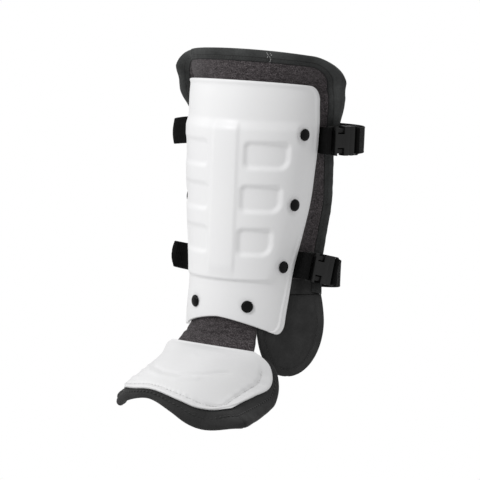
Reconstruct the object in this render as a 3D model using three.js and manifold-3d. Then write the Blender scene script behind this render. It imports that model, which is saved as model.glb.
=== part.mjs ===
// Batters leg guard in millimetres: a moulded shin shell riveted to a knit faced pad that
// wraps the shin, an ankle wing, a foot flap on a knit bridge and two buckled calf straps.
// +Z runs up the shin, -Y points forward and +X is the side that the buckles are on.
// The origin is on the inner face of the pad, at its front centre, level with the middle rivets.
import * as THREE from 'three';
import { mergeVertices } from 'three/addons/utils/BufferGeometryUtils.js';
import Module from 'manifold-3d';

const wasm = await Module();
wasm.setup();

// Driving sizes
const clearance = 0.3;
const padGap = 0.9;
const shinLength = 254;
const rivetRise = 126;
const legRadius = 75;
const shellHalfArc = 116;
const shellWall = 3;
const shellTopCorner = 17;
const shellAnkleCorner = 13;
const shellAnkleArch = 17.5;
const archRise = 0.43;
const archSpan = 1.25;
const shellTopDrop = 6;
const flangeWidth = 7.5;
const flangeStep = 1;
const flangeBevel = 1.5;
const plateauHeight = 2.2;
const spineHeight = 1.1;
const spineShare = 0.1;
const dimpleLength = 27;
const dimplePitch = 45;
const dimpleInnerShare = 0.19;
const dimpleOuterShare = 0.645;
const bevel = 2.6;
const bevelAngle = 3;
const padThickness = 9;
const padRise = 32;
const padReach = 36;
const padFlare = 100;
const padBend = 18;
const padOpening = 9;
const padTopCorner = 26;
const padAnkleCorner = 18;
const padTopDrop = 8;
const padSkew = 3;
const padAnkleHeight = -96;
const bindingWidth = 12.5;
const bindingThickness = 1;
const bindingGap = 0.9;
const wingDrop = 86;
const wingStraight = 24;
const wingThickness = 7;
const wingHalfWidth = 39;
const bridgeThickness = 5;
const bridgeTuck = 1.35;
const bridgeFarReach = 10;
const footReach = 102;
const footSetForward = 2;
const footHalfWidth = 63.5;
const footDrop = 50;
const footTwist = 4.5;
const footRoundness = 2.7;
const bridgeTwist = 0.35;
const footCornerLoss = 0.11;
const footShift = 2.5;
const footWave = 6.5;
const footPlateThickness = 3;
const footPadThickness = 8;
const footPadMargin = 17;
const rivetDiameter = 12.7;
const rivetDome = 3;
const rivetShank = 4.8;
const rivetGrip = 5;
const rivetSides = 10;
const webbingWidth = 28;
const webbingThickness = 1.6;
const buckleLength = 26;
const buckleThickness = 9;
const barWidth = 3;
const slotWidth = 5;
const armWidth = 1.2;
const frameThickness = 2.6;
const femaleShare = 0.72;
const windowStart = 3;
const windowEnd = 12;
const windowDepth = 5;
const buckleWall = 2;
const prongWidth = 4.5;
const upperStrapHalfWidth = 115;
const lowerStrapHalfWidth = 101;
const upperStrapDepth = 172;
const lowerStrapDepth = 140;
const lowerStrapTilt = 13;
const upperBuckleOverlap = 9;
const lowerBuckleOverlap = 24;
const upperBuckleLift = 10.5;
const lowerBuckleLift = 13.4;
const upperBuckleTurn = 15.5;
const lowerBuckleTurn = 5.4;
const strapSwell = 9;
const farRise = 10;
const upperStrapSag = 3.5;

const webbingSlack = 0.6;
const sewnStart = 1.5;
const anchorLead = 9.6;
const loopLead = 15;

const rad = Math.PI / 180;
const frontOffset = padThickness + padGap + shellWall;
const padOuterDepth = shellWall + padGap;
const padInnerDepth = padOuterDepth + padThickness;

// Shares of the named sizes at heights up the shin: radius of legRadius, edge of shellHalfArc,
// wing of padReach, flare of padFlare, and lean in shares of padThickness.
const legStations = [
  { height: -0.26, radius: 0.80, edge: 0.62, wing: 1.14, flare: 0.28, lean: 0 },
  { height: 0.00, radius: 0.80, edge: 0.65, wing: 1.16, flare: 0.28, lean: 0 },
  { height: 0.09, radius: 0.79, edge: 0.68, wing: 1.16, flare: 0.28, lean: 0 },
  { height: 0.24, radius: 0.775, edge: 0.79, wing: 1.12, flare: 0.30, lean: 0 },
  { height: 0.35, radius: 0.815, edge: 0.88, wing: 1.05, flare: 0.34, lean: 0 },
  { height: 0.50, radius: 0.88, edge: 0.97, wing: 0.96, flare: 0.36, lean: 0 },
  { height: 0.63, radius: 0.92, edge: 0.99, wing: 0.82, flare: 0.36, lean: 0 },
  { height: 0.75, radius: 0.955, edge: 1.00, wing: 0.68, flare: 0.42, lean: 0 },
  { height: 0.84, radius: 0.975, edge: 0.98, wing: 0.64, flare: 0.68, lean: 0.10 },
  { height: 0.92, radius: 0.99, edge: 0.95, wing: 0.66, flare: 0.94, lean: 0.25 },
  { height: 1.00, radius: 1.01, edge: 0.93, wing: 0.64, flare: 1.00, lean: 0.50 },
  { height: 1.15, radius: 1.22, edge: 0.84, wing: 0.60, flare: 0.60, lean: 0.70 },
];

// Shares down the foot flap: the middle line's reach and drop, the side line's width of
// footHalfWidth, reach of footReach and drop of footDrop, and the margin of the foot pad.
const footStations = [
  { share: 0.00, reach: 0.15, drop: 0.00, width: 0.74, sideReach: 0.00, sideDrop: 0.05, margin: 0.05 },
  { share: 0.08, reach: 0.22, drop: 0.01, width: 0.86, sideReach: -0.05, sideDrop: 0.14, margin: 0.15 },
  { share: 0.16, reach: 0.31, drop: 0.03, width: 0.97, sideReach: -0.11, sideDrop: 0.33, margin: 0.40 },
  { share: 0.25, reach: 0.41, drop: 0.07, width: 1.03, sideReach: -0.10, sideDrop: 0.58, margin: 0.75 },
  { share: 0.35, reach: 0.52, drop: 0.12, width: 1.05, sideReach: 0.00, sideDrop: 0.73, margin: 1.00 },
  { share: 0.55, reach: 0.74, drop: 0.24, width: 1.03, sideReach: 0.26, sideDrop: 0.78, margin: 1.26 },
  { share: 0.75, reach: 0.94, drop: 0.39, width: 1.00, sideReach: 0.54, sideDrop: 0.83, margin: 1.40 },
  { share: 0.90, reach: 1.08, drop: 0.52, width: 0.97, sideReach: 0.76, sideDrop: 0.88, margin: 1.45 },
  { share: 1.00, reach: 1.15, drop: 0.60, width: 0.88, sideReach: 0.89, sideDrop: 0.89, margin: 1.50 },
];

// Fall of the toe edge in shares of footWave, at places across the foot flap, and the share
// of the foot pad's margin that is left there
const toeStations = [
  { across: -1.00, fall: -0.15, margin: 0.70 },
  { across: -0.60, fall: 0.38, margin: 0.32 },
  { across: -0.10, fall: 0.14, margin: 0.28 },
  { across: 0.40, fall: 0.80, margin: 0.50 },
  { across: 0.80, fall: 1.02, margin: 0.80 },
  { across: 1.00, fall: -0.20, margin: 0.95 },
];

// Straps: height up the shin, depth and half width of the loop, slope down towards the back
// and sag at the far side. The buckle starts overlap inside the pad's edge, stands lift above
// the pad and is turned away from it.
const straps = [
  {
    name: 'upper',
    height: 0.76,
    depth: upperStrapDepth,
    halfWidth: upperStrapHalfWidth,
    tilt: 0,
    sag: upperStrapSag,
    overlap: upperBuckleOverlap,
    lift: upperBuckleLift,
    turn: upperBuckleTurn,
  },
  {
    name: 'lower',
    height: 0.245,
    depth: lowerStrapDepth,
    halfWidth: lowerStrapHalfWidth,
    tilt: lowerStrapTilt,
    sag: 0,
    overlap: lowerBuckleOverlap,
    lift: lowerBuckleLift,
    turn: lowerBuckleTurn,
  },
];

// Turns of the strap in plan, from the buckle round the back and on to the far side
const nearTurns = [16, 36, 58, 80];
const farTurns = [80, 58, 36, 16, 0];
const farShare = 0.5;

function heightAt(share) {
  return share * shinLength - rivetRise;
}

function shareAt(z) {
  return (z + rivetRise) / shinLength;
}

// Smooth value of one column of a station table at a place along its key column.
function sample(table, key, column, place) {
  let i = 0;
  while (i < table.length - 2 && place > table[i + 1][key]) i += 1;
  const a = table[i];
  const b = table[i + 1];
  const before = table[Math.max(i - 1, 0)];
  const after = table[Math.min(i + 2, table.length - 1)];
  const span = b[key] - a[key];
  const t = Math.min(Math.max((place - a[key]) / span, 0), 1);
  const slopeA = i === 0 ? (b[column] - a[column]) / span
    : (b[column] - before[column]) / (b[key] - before[key]);
  const slopeB = i + 2 > table.length - 1 ? (b[column] - a[column]) / span
    : (after[column] - a[column]) / (after[key] - a[key]);
  const t2 = t * t;
  const t3 = t2 * t;
  return a[column] * (2 * t3 - 3 * t2 + 1) + b[column] * (3 * t2 - 2 * t3)
    + slopeA * span * (t3 - 2 * t2 + t) + slopeB * span * (t3 - t2);
}

function ramp(value, from, to) {
  return Math.min(Math.max((value - from) / (to - from), 0), 1);
}

function leg(z) {
  const at = (column) => sample(legStations, 'height', column, shareAt(z));
  return {
    radius: at('radius') * legRadius,
    edge: at('edge') * shellHalfArc,
    wing: at('wing') * padReach,
    flare: at('flare') * padFlare * rad,
    lean: at('lean') * padThickness,
  };
}

// Point of the leg form: arc is measured round the shell's outer face from the front line,
// z is the height and depth goes inwards. Past the shell's edge the form bends outwards.
function legPoint(arc, z, depth) {
  const form = leg(z);
  const side = Math.sign(arc) || 1;
  const far = Math.abs(arc);
  const opening = padOpening * ramp(shareAt(z), 0.97, 1.06);
  const bendStart = form.edge - shellWall - opening;
  const bend = padBend + 2 * opening;
  const onArc = Math.min(far, bendStart);
  const onBend = Math.min(Math.max(far - bendStart, 0), bend);
  const onFlat = Math.max(far - bendStart - bend, 0);
  const turn = -form.flare / bend;
  let heading = onArc / form.radius;
  let x = form.radius * Math.sin(heading);
  let y = form.radius * (1 - Math.cos(heading));
  if (onBend > 0) {
    const next = heading + turn * onBend;
    x += (Math.sin(next) - Math.sin(heading)) / turn;
    y += (Math.cos(heading) - Math.cos(next)) / turn;
    heading = next;
  }
  x += onFlat * Math.cos(heading);
  y += onFlat * Math.sin(heading);
  x -= depth * Math.sin(heading);
  y += depth * Math.cos(heading);
  return new THREE.Vector3(side * x, y - frontOffset + form.lean, z);
}

// Closed geometry from two grids of points that share a rim: rows of outer points and the
// inner points behind them. Rows run upwards and columns run towards +X, seen from outside.
function slab(rows, columns, outerPoint, innerPoint) {
  const positions = [];
  const index = [];
  for (const pointAt of [outerPoint, innerPoint]) {
    for (let r = 0; r < rows; r += 1) {
      for (let c = 0; c < columns; c += 1) positions.push(...pointAt(r, c));
    }
  }
  const inner = rows * columns;
  const at = (r, c) => r * columns + c;
  const quad = (a, b, c, d) => index.push(a, b, c, a, c, d);
  for (let r = 0; r < rows - 1; r += 1) {
    for (let c = 0; c < columns - 1; c += 1) {
      quad(at(r, c), at(r, c + 1), at(r + 1, c + 1), at(r + 1, c));
      quad(inner + at(r, c), inner + at(r + 1, c), inner + at(r + 1, c + 1), inner + at(r, c + 1));
    }
  }
  for (let c = 0; c < columns - 1; c += 1) {
    const top = rows - 1;
    quad(at(0, c + 1), at(0, c), inner + at(0, c), inner + at(0, c + 1));
    quad(at(top, c), at(top, c + 1), inner + at(top, c + 1), inner + at(top, c));
  }
  for (let r = 0; r < rows - 1; r += 1) {
    const last = columns - 1;
    quad(at(r, 0), at(r + 1, 0), inner + at(r + 1, 0), inner + at(r, 0));
    quad(at(r + 1, last), at(r, last), inner + at(r, last), inner + at(r + 1, last));
  }
  const geometry = new THREE.BufferGeometry();
  geometry.setAttribute('position', new THREE.Float32BufferAttribute(positions, 3));
  geometry.setIndex(index);
  return geometry;
}

function toSolid(geometry) {
  const bare = geometry.clone();
  for (const name of Object.keys(bare.attributes)) {
    if (name !== 'position') bare.deleteAttribute(name);
  }
  const merged = mergeVertices(bare, 1e-4);
  return new wasm.Manifold(new wasm.Mesh({
    numProp: 3,
    vertProperties: new Float32Array(merged.attributes.position.array),
    triVerts: new Uint32Array(merged.index.array),
  }));
}

function toGeometry(solid) {
  const mesh = solid.getMesh();
  const geometry = new THREE.BufferGeometry();
  geometry.setAttribute('position', new THREE.Float32BufferAttribute(mesh.vertProperties, 3));
  geometry.setIndex([...mesh.triVerts]);
  return geometry;
}

function plastic(color, roughness) {
  return new THREE.MeshStandardMaterial({ color, roughness, metalness: 0 });
}

const whitePlastic = plastic(0xececec, 0.35);
const blackPlastic = plastic(0x232323, 0.45);
const knit = plastic(0x4e4a4c, 0.9);
const edgeCloth = plastic(0x353838, 0.8);
const ankleCloth = plastic(0x323232, 0.85);
const webbing = plastic(0x141414, 0.8);

const guard = new THREE.Group();

function addPiece(name, geometry, material, parent = guard) {
  const flat = geometry.index ? geometry.toNonIndexed() : geometry;
  flat.computeVertexNormals();
  const mesh = new THREE.Mesh(flat, material);
  mesh.name = name;
  parent.add(mesh);
  return mesh;
}

// Rivets on one side of the shell: height in shares of the shin and across in shares of the
// shell's edge
const rivetRows = [
  { height: 0.785, across: 0.775 },
  { height: 0.496, across: 0.728 },
  { height: 0.239, across: 0.787 },
  { height: 0.079, across: 0.409 },
];
const rivetPlaces = [];
for (const side of [-1, 1]) {
  for (const row of rivetRows) rivetPlaces.push({ ...row, across: side * row.across });
}

function rivetFrame(place, height) {
  const z = heightAt(place.height);
  const arc = place.across * leg(z).edge;
  const out = legPoint(arc, z, -1).sub(legPoint(arc, z, 0)).normalize();
  const up = new THREE.Vector3(0, 1, 0);
  return {
    position: legPoint(arc, z, 0).addScaledVector(out, height),
    quaternion: new THREE.Quaternion().setFromUnitVectors(up, out),
  };
}

function rivetHole(place) {
  const depth = shellWall + clearance + rivetGrip + clearance;
  const radius = rivetShank / 2 + clearance;
  const pin = new THREE.CylinderGeometry(radius, radius, 2 * depth, rivetSides);
  const frame = rivetFrame(place, 0);
  pin.applyQuaternion(frame.quaternion);
  pin.translate(frame.position.x, frame.position.y, frame.position.z);
  return toSolid(pin);
}

function cutRivetHoles(geometry, others = []) {
  let solid = toSolid(geometry);
  for (const other of others) solid = solid.subtract(toSolid(other));
  for (const place of rivetPlaces) solid = solid.subtract(rivetHole(place));
  const bodies = solid.decompose().sort((one, two) => two.volume() - one.volume());
  return toGeometry(bodies[0]);
}

// Shin shell. The spine and the dimples take shares of the angle that half the shell spans.
const shellHalfAngle = shellHalfArc / legRadius / rad;
const spineHalfAngle = spineShare * shellHalfAngle;
const dimpleInnerAngle = dimpleInnerShare * shellHalfAngle;
const dimpleOuterAngle = dimpleOuterShare * shellHalfAngle;
const stepHeight = heightAt(0.19);
const shoulderHeight = heightAt(0.83);
const dimpleHeights = [-1, 0, 1].map((i) => heightAt(0.521) + i * dimplePitch);

function cornerLoss(distance, corner) {
  const inside = Math.min(Math.max(corner - distance, 0), corner);
  return corner - Math.sqrt(corner * corner - inside * inside);
}

const shellTop = heightAt(1);
const shellAnkle = heightAt(0);

function shellHalfWidth(z) {
  return leg(z).edge - cornerLoss(shellTop - z, shellTopCorner)
    - cornerLoss(z - shellAnkle, shellAnkleCorner);
}

// Height shift of the shell's ends: the ankle end is arched and the top falls at its sides
function shellShift(arc, z) {
  const low = leg(shellAnkle);
  const along = Math.abs(arc) / low.edge;
  const arch = shellAnkleArch * (archRise - archSpan * Math.pow(along, 1.5));
  const drop = -shellTopDrop * Math.pow(Math.abs(arc) / shellHalfArc, 2);
  return arch * ramp(z, stepHeight, shellAnkle) + drop * ramp(z, shoulderHeight, shellTop);
}

function shellRelief(angle, z, rim) {
  const across = Math.abs(angle);
  const shoulder = ramp(z, shoulderHeight, shoulderHeight - 2 * bevel);
  const plateau = shoulder * ramp(z, stepHeight - bevel, stepHeight) * ramp(rim, 0.22, 0.1);
  const spine = shoulder * ramp(z, stepHeight, stepHeight + 4 * bevel)
    * ramp(across, spineHalfAngle + bevelAngle, spineHalfAngle);
  const inAngle = ramp(across, dimpleInnerAngle, dimpleInnerAngle + bevelAngle)
    * ramp(across, dimpleOuterAngle, dimpleOuterAngle - bevelAngle);
  let dimple = 0;
  for (const middle of dimpleHeights) {
    const off = Math.abs(z - middle);
    dimple = Math.max(dimple, inAngle * ramp(off, dimpleLength / 2, dimpleLength / 2 - bevel));
  }
  return plateauHeight * plateau * (1 - dimple) + spineHeight * spine;
}

function shellRows() {
  const rows = [];
  const cornerShares = [0, 0.08, 0.4, 1];
  for (const share of cornerShares) rows.push(shellAnkle + share * shellAnkleCorner);
  rows.push(heightAt(0.12), stepHeight - bevel, stepHeight, stepHeight + 4 * bevel);
  for (const middle of dimpleHeights) {
    const half = dimpleLength / 2;
    rows.push(middle - half, middle - half + bevel, middle + half - bevel, middle + half);
  }
  rows.push(shoulderHeight - 2 * bevel, shoulderHeight, heightAt(0.89));
  for (const share of [...cornerShares].reverse()) rows.push(shellTop - share * shellTopCorner);
  return rows;
}

// Places across one half of the shell, from the front line to the edge
function shellColumns(z) {
  const width = shellHalfWidth(z);
  const toArc = leg(z).radius * rad;
  const inner = [0, spineHalfAngle, spineHalfAngle + bevelAngle];
  inner.push(dimpleInnerAngle, dimpleInnerAngle + bevelAngle);
  for (const share of [0.3, 0.7]) {
    inner.push(dimpleInnerAngle + share * (dimpleOuterAngle - dimpleInnerAngle));
  }
  inner.push(dimpleOuterAngle - bevelAngle, dimpleOuterAngle);
  const last = width - flangeWidth - flangeBevel;
  const limit = Math.min(dimpleOuterAngle * toArc, last - flangeWidth);
  const arcs = inner.map((angle) => angle / dimpleOuterAngle * limit);
  const rims = inner.map(() => 0);
  for (const rim of [0.1, 0.22, 0.6, 1]) {
    arcs.push(limit + rim * (last - limit));
    rims.push(rim);
  }
  arcs.push(width - flangeWidth, width);
  rims.push(1.5, 2);
  return arcs.map((arc, i) => ({ arc, rim: rims[i], angle: i < inner.length ? inner[i] : 90 }));
}

function mirrored(half) {
  const left = half.slice(1).reverse();
  return [...left.map((place) => ({ ...place, arc: -place.arc, angle: -place.angle })), ...half];
}

const shellHeights = shellRows();
const shellGrid = shellHeights.map((z) => mirrored(shellColumns(z)));

function shellPoint(r, c, depth) {
  const z = shellHeights[r];
  const place = shellGrid[r][c];
  const relief = shellRelief(place.angle, z, place.rim);
  const flange = place.rim > 1 ? flangeStep : 0;
  return legPoint(place.arc, z + shellShift(place.arc, z), depth - relief - flange);
}

addPiece('shin_shell', cutRivetHoles(slab(
  shellHeights.length,
  shellGrid[0].length,
  (r, c) => shellPoint(r, c, 0),
  (r, c) => shellPoint(r, c, shellWall),
)), whitePlastic);

// Rivets with domed heads
function rivetGeometry() {
  const profile = [new THREE.Vector2(0, -shellWall - clearance - rivetGrip)];
  profile.push(new THREE.Vector2(rivetShank / 2, -shellWall - clearance - rivetGrip));
  profile.push(new THREE.Vector2(rivetShank / 2, 0));
  profile.push(new THREE.Vector2(rivetDiameter / 2, 0));
  for (const turn of [20, 50]) {
    const reach = rivetDiameter / 2 * Math.cos(turn * rad);
    profile.push(new THREE.Vector2(reach, rivetDome * Math.sin(turn * rad)));
  }
  profile.push(new THREE.Vector2(0, rivetDome));
  return new THREE.LatheGeometry(profile, rivetSides);
}

rivetPlaces.forEach((place, i) => {
  const rivet = addPiece(`rivet_${i + 1}`, rivetGeometry(), blackPlastic);
  const frame = rivetFrame(place, clearance);
  rivet.position.copy(frame.position);
  rivet.quaternion.copy(frame.quaternion);
});

// Pad with its knit face
const padTop = heightAt(1) + padRise;
const bindingCover = bindingThickness + bindingGap;

function padHalfWidth(z, side) {
  const form = leg(z);
  const ankleLoss = side < 0 ? cornerLoss(z - padAnkleHeight, padAnkleCorner) : 0;
  const skew = -side * padSkew * ramp(z, shoulderHeight, shellTop);
  return form.edge + form.wing + skew - cornerLoss(padTop - z, padTopCorner) - ankleLoss;
}

function padShift(arc, z) {
  return -padTopDrop * Math.pow(arc / shellHalfArc, 2) * ramp(z, shoulderHeight, padTop);
}

// Outline of the pad as arc and height, from the ankle end of the -X side over the top and
// down to the ankle end of the +X side.
function padRowHeights() {
  const heights = [0, 0.1, 0.4, 1].map((share) => padAnkleHeight + share * padAnkleCorner);
  for (const share of [0.26, 0.37, 0.5, 0.62, 0.72, 0.8, 0.87, 0.94]) heights.push(heightAt(share));
  for (const share of [1, 0.6, 0.3, 0.08, 0]) heights.push(padTop - share * padTopCorner);
  return heights;
}

const padHeights = padRowHeights();
const topShares = [-0.95, -0.75, -0.5, -0.25, 0, 0.25, 0.5, 0.75, 0.95];

function padEdge() {
  const edge = [];
  for (const z of padHeights) edge.push({ arc: -padHalfWidth(z, -1), z });
  for (const share of topShares) {
    edge.push({ arc: share * padHalfWidth(padTop, Math.sign(share)), z: padTop });
  }
  for (const z of [...padHeights].reverse()) edge.push({ arc: padHalfWidth(z, 1), z });
  return edge;
}

// The same outline moved inwards along its own normal
function insetEdge(edge, inset) {
  return edge.map((place, i) => {
    const before = edge[Math.max(i - 1, 0)];
    const after = edge[Math.min(i + 1, edge.length - 1)];
    const along = new THREE.Vector2(after.arc - before.arc, after.z - before.z).normalize();
    return { arc: place.arc + along.y * inset, z: place.z - along.x * inset };
  });
}

function padPoint(place, depth) {
  return legPoint(place.arc, place.z + padShift(place.arc, place.z), depth);
}

// Places across one half of the pad, with one at the shell's edge and one under the binding
function padColumns(end, z) {
  const cover = Math.min(end - bindingWidth, end * 0.85);
  const outside = Math.min(leg(z).edge + padBend / 3, cover - bevel);
  const inside = Math.min(leg(z).edge - 2 * bevel, outside - bevel);
  const middle = (cover + end) / 2;
  const columns = [0, 0.2, 0.4, 0.6, 0.8, 1].map((share) => share * inside);
  columns.push(outside, cover, middle, end);
  return columns;
}

function padGeometry() {
  const edge = insetEdge(padEdge(), bindingCover);
  const rows = padHeights.map((_, r) => {
    const left = edge[r];
    const right = edge[edge.length - 1 - r];
    const arcs = padColumns(-left.arc, left.z).slice(1).reverse().map((arc) => -arc);
    arcs.push(...padColumns(right.arc, right.z));
    return arcs.map((arc) => {
      const mix = (arc - left.arc) / (right.arc - left.arc);
      return { arc, z: left.z + (right.z - left.z) * mix };
    });
  });
  return slab(
    rows.length,
    rows[0].length,
    (r, c) => padPoint(rows[r][c], padOuterDepth),
    (r, c) => padPoint(rows[r][c], padInnerDepth),
  );
}

// Closed geometry from rings of points, with flat ends
function sweep(rings) {
  const count = rings[0].length;
  const positions = [];
  for (const ring of rings) {
    for (const point of ring) positions.push(...point);
  }
  const index = [];
  for (let r = 0; r < rings.length - 1; r += 1) {
    for (let c = 0; c < count; c += 1) {
      const d = (c + 1) % count;
      const a = r * count;
      const b = a + count;
      index.push(a + c, b + c, b + d, a + c, b + d, a + d);
    }
  }
  return { positions, index, count };
}

function closeEnds(tube, section) {
  const faces = THREE.ShapeUtils.triangulateShape(section, []);
  const turn = THREE.ShapeUtils.area(section);
  const last = tube.positions.length / 3 - tube.count;
  for (const face of faces) {
    const sameTurn = THREE.ShapeUtils.area(face.map((i) => section[i])) * turn > 0;
    const [a, b, c] = sameTurn ? face : [...face].reverse();
    tube.index.push(a, b, c);
    tube.index.push(last + a, last + c, last + b);
  }
  const geometry = new THREE.BufferGeometry();
  geometry.setAttribute('position', new THREE.Float32BufferAttribute(tube.positions, 3));
  geometry.setIndex(tube.index);
  return geometry;
}

// Section of the binding as inset from the pad's edge and depth. Growth makes the body that
// is cut away from the pad.
function bindingSection(growth) {
  const outer = padOuterDepth - bindingCover - growth;
  const inner = padInnerDepth + bindingCover + growth;
  const wide = bindingWidth + growth;
  const round = 1.2 * bindingThickness;
  const middle = bindingWidth / 2;
  const skin = bindingThickness + 2 * growth;
  const side = bindingThickness + growth;
  return [
    [wide, outer], [middle, outer], [round, outer], [-growth, outer + round],
    [-growth, inner - round], [round, inner], [middle, inner], [wide, inner],
    [wide, inner - skin], [middle, inner - skin], [side, inner - skin],
    [side, outer + skin], [middle, outer + skin], [wide, outer + skin],
  ].map(([inset, depth]) => new THREE.Vector2(inset, depth));
}

function bindingGeometry(growth = 0) {
  const section = bindingSection(growth);
  const edge = padEdge();
  const lines = section.map((corner) => insetEdge(edge, corner.x));
  const rings = edge.map((_, i) => section.map((corner, k) => padPoint(lines[k][i], corner.y)));
  return closeEnds(sweep(rings), section);
}

addPiece('shin_pad', cutRivetHoles(padGeometry(), [bindingGeometry(clearance)]), knit);
addPiece('pad_binding', bindingGeometry(), edgeCloth);

// Ankle wing: a rounded tab that carries on the pad on the +X side
const wingTop = padAnkleHeight - clearance;
const wingOuterArc = padHalfWidth(padAnkleHeight, 1);
const wingMiddleArc = wingOuterArc - wingHalfWidth;

function wingGeometry() {
  const turns = [0, 14, 28, 42, 54, 65, 74, 81, 86];
  const round = wingDrop - wingStraight;
  const rows = turns.map((turn) => ({
    z: wingTop - wingStraight - round * Math.sin(turn * rad),
    half: wingHalfWidth * Math.cos(turn * rad),
  })).reverse();
  rows.push({ z: wingTop, half: wingHalfWidth });
  const shares = [-1, -0.8, -0.55, -0.3, 0, 0.3, 0.55, 0.8, 1];
  const point = (r, c, depth) => {
    const arc = wingMiddleArc + shares[c] * rows[r].half;
    return legPoint(arc, rows[r].z, depth);
  };
  return slab(
    rows.length,
    shares.length,
    (r, c) => point(r, c, padOuterDepth),
    (r, c) => point(r, c, padOuterDepth + wingThickness),
  );
}

addPiece('ankle_wing', wingGeometry(), ankleCloth);

// Foot flap form: u runs across from -1 to 1 and v runs down from the bridge to the toe
const footTop = heightAt(-0.08);
const footBack = -frontOffset - footSetForward;

function footForm(u, v) {
  const down = v * (1 - footCornerLoss * Math.pow(ramp(u, 0.6, 1), 2));
  const at = (column) => sample(footStations, 'share', column, down);
  const across = Math.abs(u);
  const middleY = -at('reach') * footReach;
  const sideY = -at('sideReach') * footReach;
  const middleZ = -at('drop') * footDrop;
  const sideZ = -at('sideDrop') * footDrop;
  const x = u * at('width') * footHalfWidth - footShift * ramp(v, 0.45, 0);
  const twist = Math.sin(footTwist * rad) * (bridgeTwist + (1 - bridgeTwist) * v);
  const fall = footWave * sample(toeStations, 'across', 'fall', u) * v * v;
  return new THREE.Vector3(
    x,
    footBack + middleY + (sideY - middleY) * Math.pow(across, footRoundness),
    footTop + middleZ + (sideZ - middleZ) * Math.pow(across, footRoundness) - x * twist - fall,
  );
}

function footNormal(u, v) {
  const step = 0.01;
  const inU = Math.min(Math.max(u, step - 1), 1 - step);
  const inV = Math.min(Math.max(v, step), 1 - step);
  const alongU = footForm(inU + step, inV).sub(footForm(inU - step, inV));
  const alongV = footForm(inU, inV + step).sub(footForm(inU, inV - step));
  return alongV.cross(alongU).normalize();
}

function footPoint(u, v, depth) {
  return footForm(u, v).addScaledVector(footNormal(u, v), -depth);
}

const footShares = [-1, -0.87, -0.72, -0.55, -0.38, -0.2, 0, 0.22, 0.45, 0.65, 0.83, 0.93, 1];
const footRows = [1, 0.9, 0.75, 0.6, 0.45, 0.35, 0.25, 0.16, 0.08, 0];

addPiece('foot_plate', slab(
  footRows.length,
  footShares.length,
  (r, c) => footPoint(footShares[c], footRows[r], 0),
  (r, c) => footPoint(footShares[c], footRows[r], footPlateThickness),
), whitePlastic);

// Foot pad: the same form under the plate, carried on past its side and toe edges
const footPadStart = 0.08;

function footPadGeometry() {
  const outer = footPlateThickness + clearance;
  const rows = [1, 1, ...footRows.slice(0, -1)];
  const columns = [-1, -1, ...footShares, 1, 1];
  const reach = (i, count) => Math.max(2 - i, 0) + Math.max(i - count + 3, 0);
  const point = (r, c, inside) => {
    const u = columns[c];
    const v = rows[r];
    const sideSteps = reach(c, columns.length);
    const toeSteps = Math.max(2 - r, 0);
    const steps = Math.max(sideSteps, toeSteps);
    const rim = steps === 2 ? footPadThickness * 0.35 : 0;
    const depth = inside ? outer + footPadThickness - rim : outer + rim;
    const base = footPoint(u, v, depth);
    if (steps === 0) return base;
    const wanted = sample(footStations, 'share', 'margin', v) * footPadMargin;
    const margin = wanted * sample(toeStations, 'across', 'margin', u) * steps / 2;
    const normal = footNormal(u, v);
    const step = 0.02;
    const out = new THREE.Vector3();
    const toeLine = footForm(Math.min(u + step, 1), v).sub(footForm(Math.max(u - step, -1), v));
    const sideLine = footForm(u, Math.min(v + step, 1)).sub(footForm(u, Math.max(v - step, 0)));
    const toeward = normal.clone().cross(toeLine).normalize();
    const sideward = normal.clone().cross(sideLine).normalize();
    if (toeSteps > 0) out.addScaledVector(toeward, -toeSteps);
    if (sideSteps > 0) out.addScaledVector(sideward, Math.sign(u) * sideSteps);
    return base.addScaledVector(out.normalize(), margin);
  };
  return slab(
    rows.length,
    columns.length,
    (r, c) => point(r, c, false),
    (r, c) => point(r, c, true),
  );
}

addPiece('foot_pad', footPadGeometry(), ankleCloth);

// Instep bridge: knit that comes from under the shell and turns forwards to the foot flap
function bridgeGeometry() {
  const shares = [-1, -0.7, -0.35, 0, 0.35, 0.7, 1];
  const turnSteps = [1, 0.8, 0.6, 0.4, 0.2];
  const nearArc = wingMiddleArc - wingHalfWidth - clearance;
  const farArc = nearArc + bridgeFarReach;
  const top = padAnkleHeight - clearance;
  const bendHeight = heightAt(0) - shellWall;
  const legHeights = [bendHeight, (bendHeight + top) / 2, top];
  const point = (r, c, inside) => {
    const u = shares[c];
    const arc = u * (u > 0 ? nearArc : farArc);
    const legDepth = padOuterDepth + (inside ? bridgeThickness : 0);
    if (r >= turnSteps.length) return legPoint(arc, legHeights[r - turnSteps.length], legDepth);
    const footDepth = footPlateThickness + bridgeTuck + (inside ? bridgeThickness : 0);
    const from = legPoint(arc, bendHeight, legDepth);
    const to = footPoint(u, 0.025, footDepth);
    const bend = from.clone().lerp(to, 0.3);
    bend.y = from.y;
    const t = turnSteps[r];
    return from.clone().lerp(bend, t).lerp(bend.clone().lerp(to, t), t);
  };
  return slab(
    turnSteps.length + legHeights.length,
    shares.length,
    (r, c) => point(r, c, false),
    (r, c) => point(r, c, true),
  );
}

addPiece('instep_bridge', cutRivetHoles(bridgeGeometry()), knit);

// Buckle pieces in their own frame: x runs along the strap towards the back, y runs up the
// shin and z points out from the leg. Each bar carries a loop of webbing.
const buckleHalf = webbingWidth / 2 + clearance + armWidth;
const femaleEnd = buckleLength * femaleShare;

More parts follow.
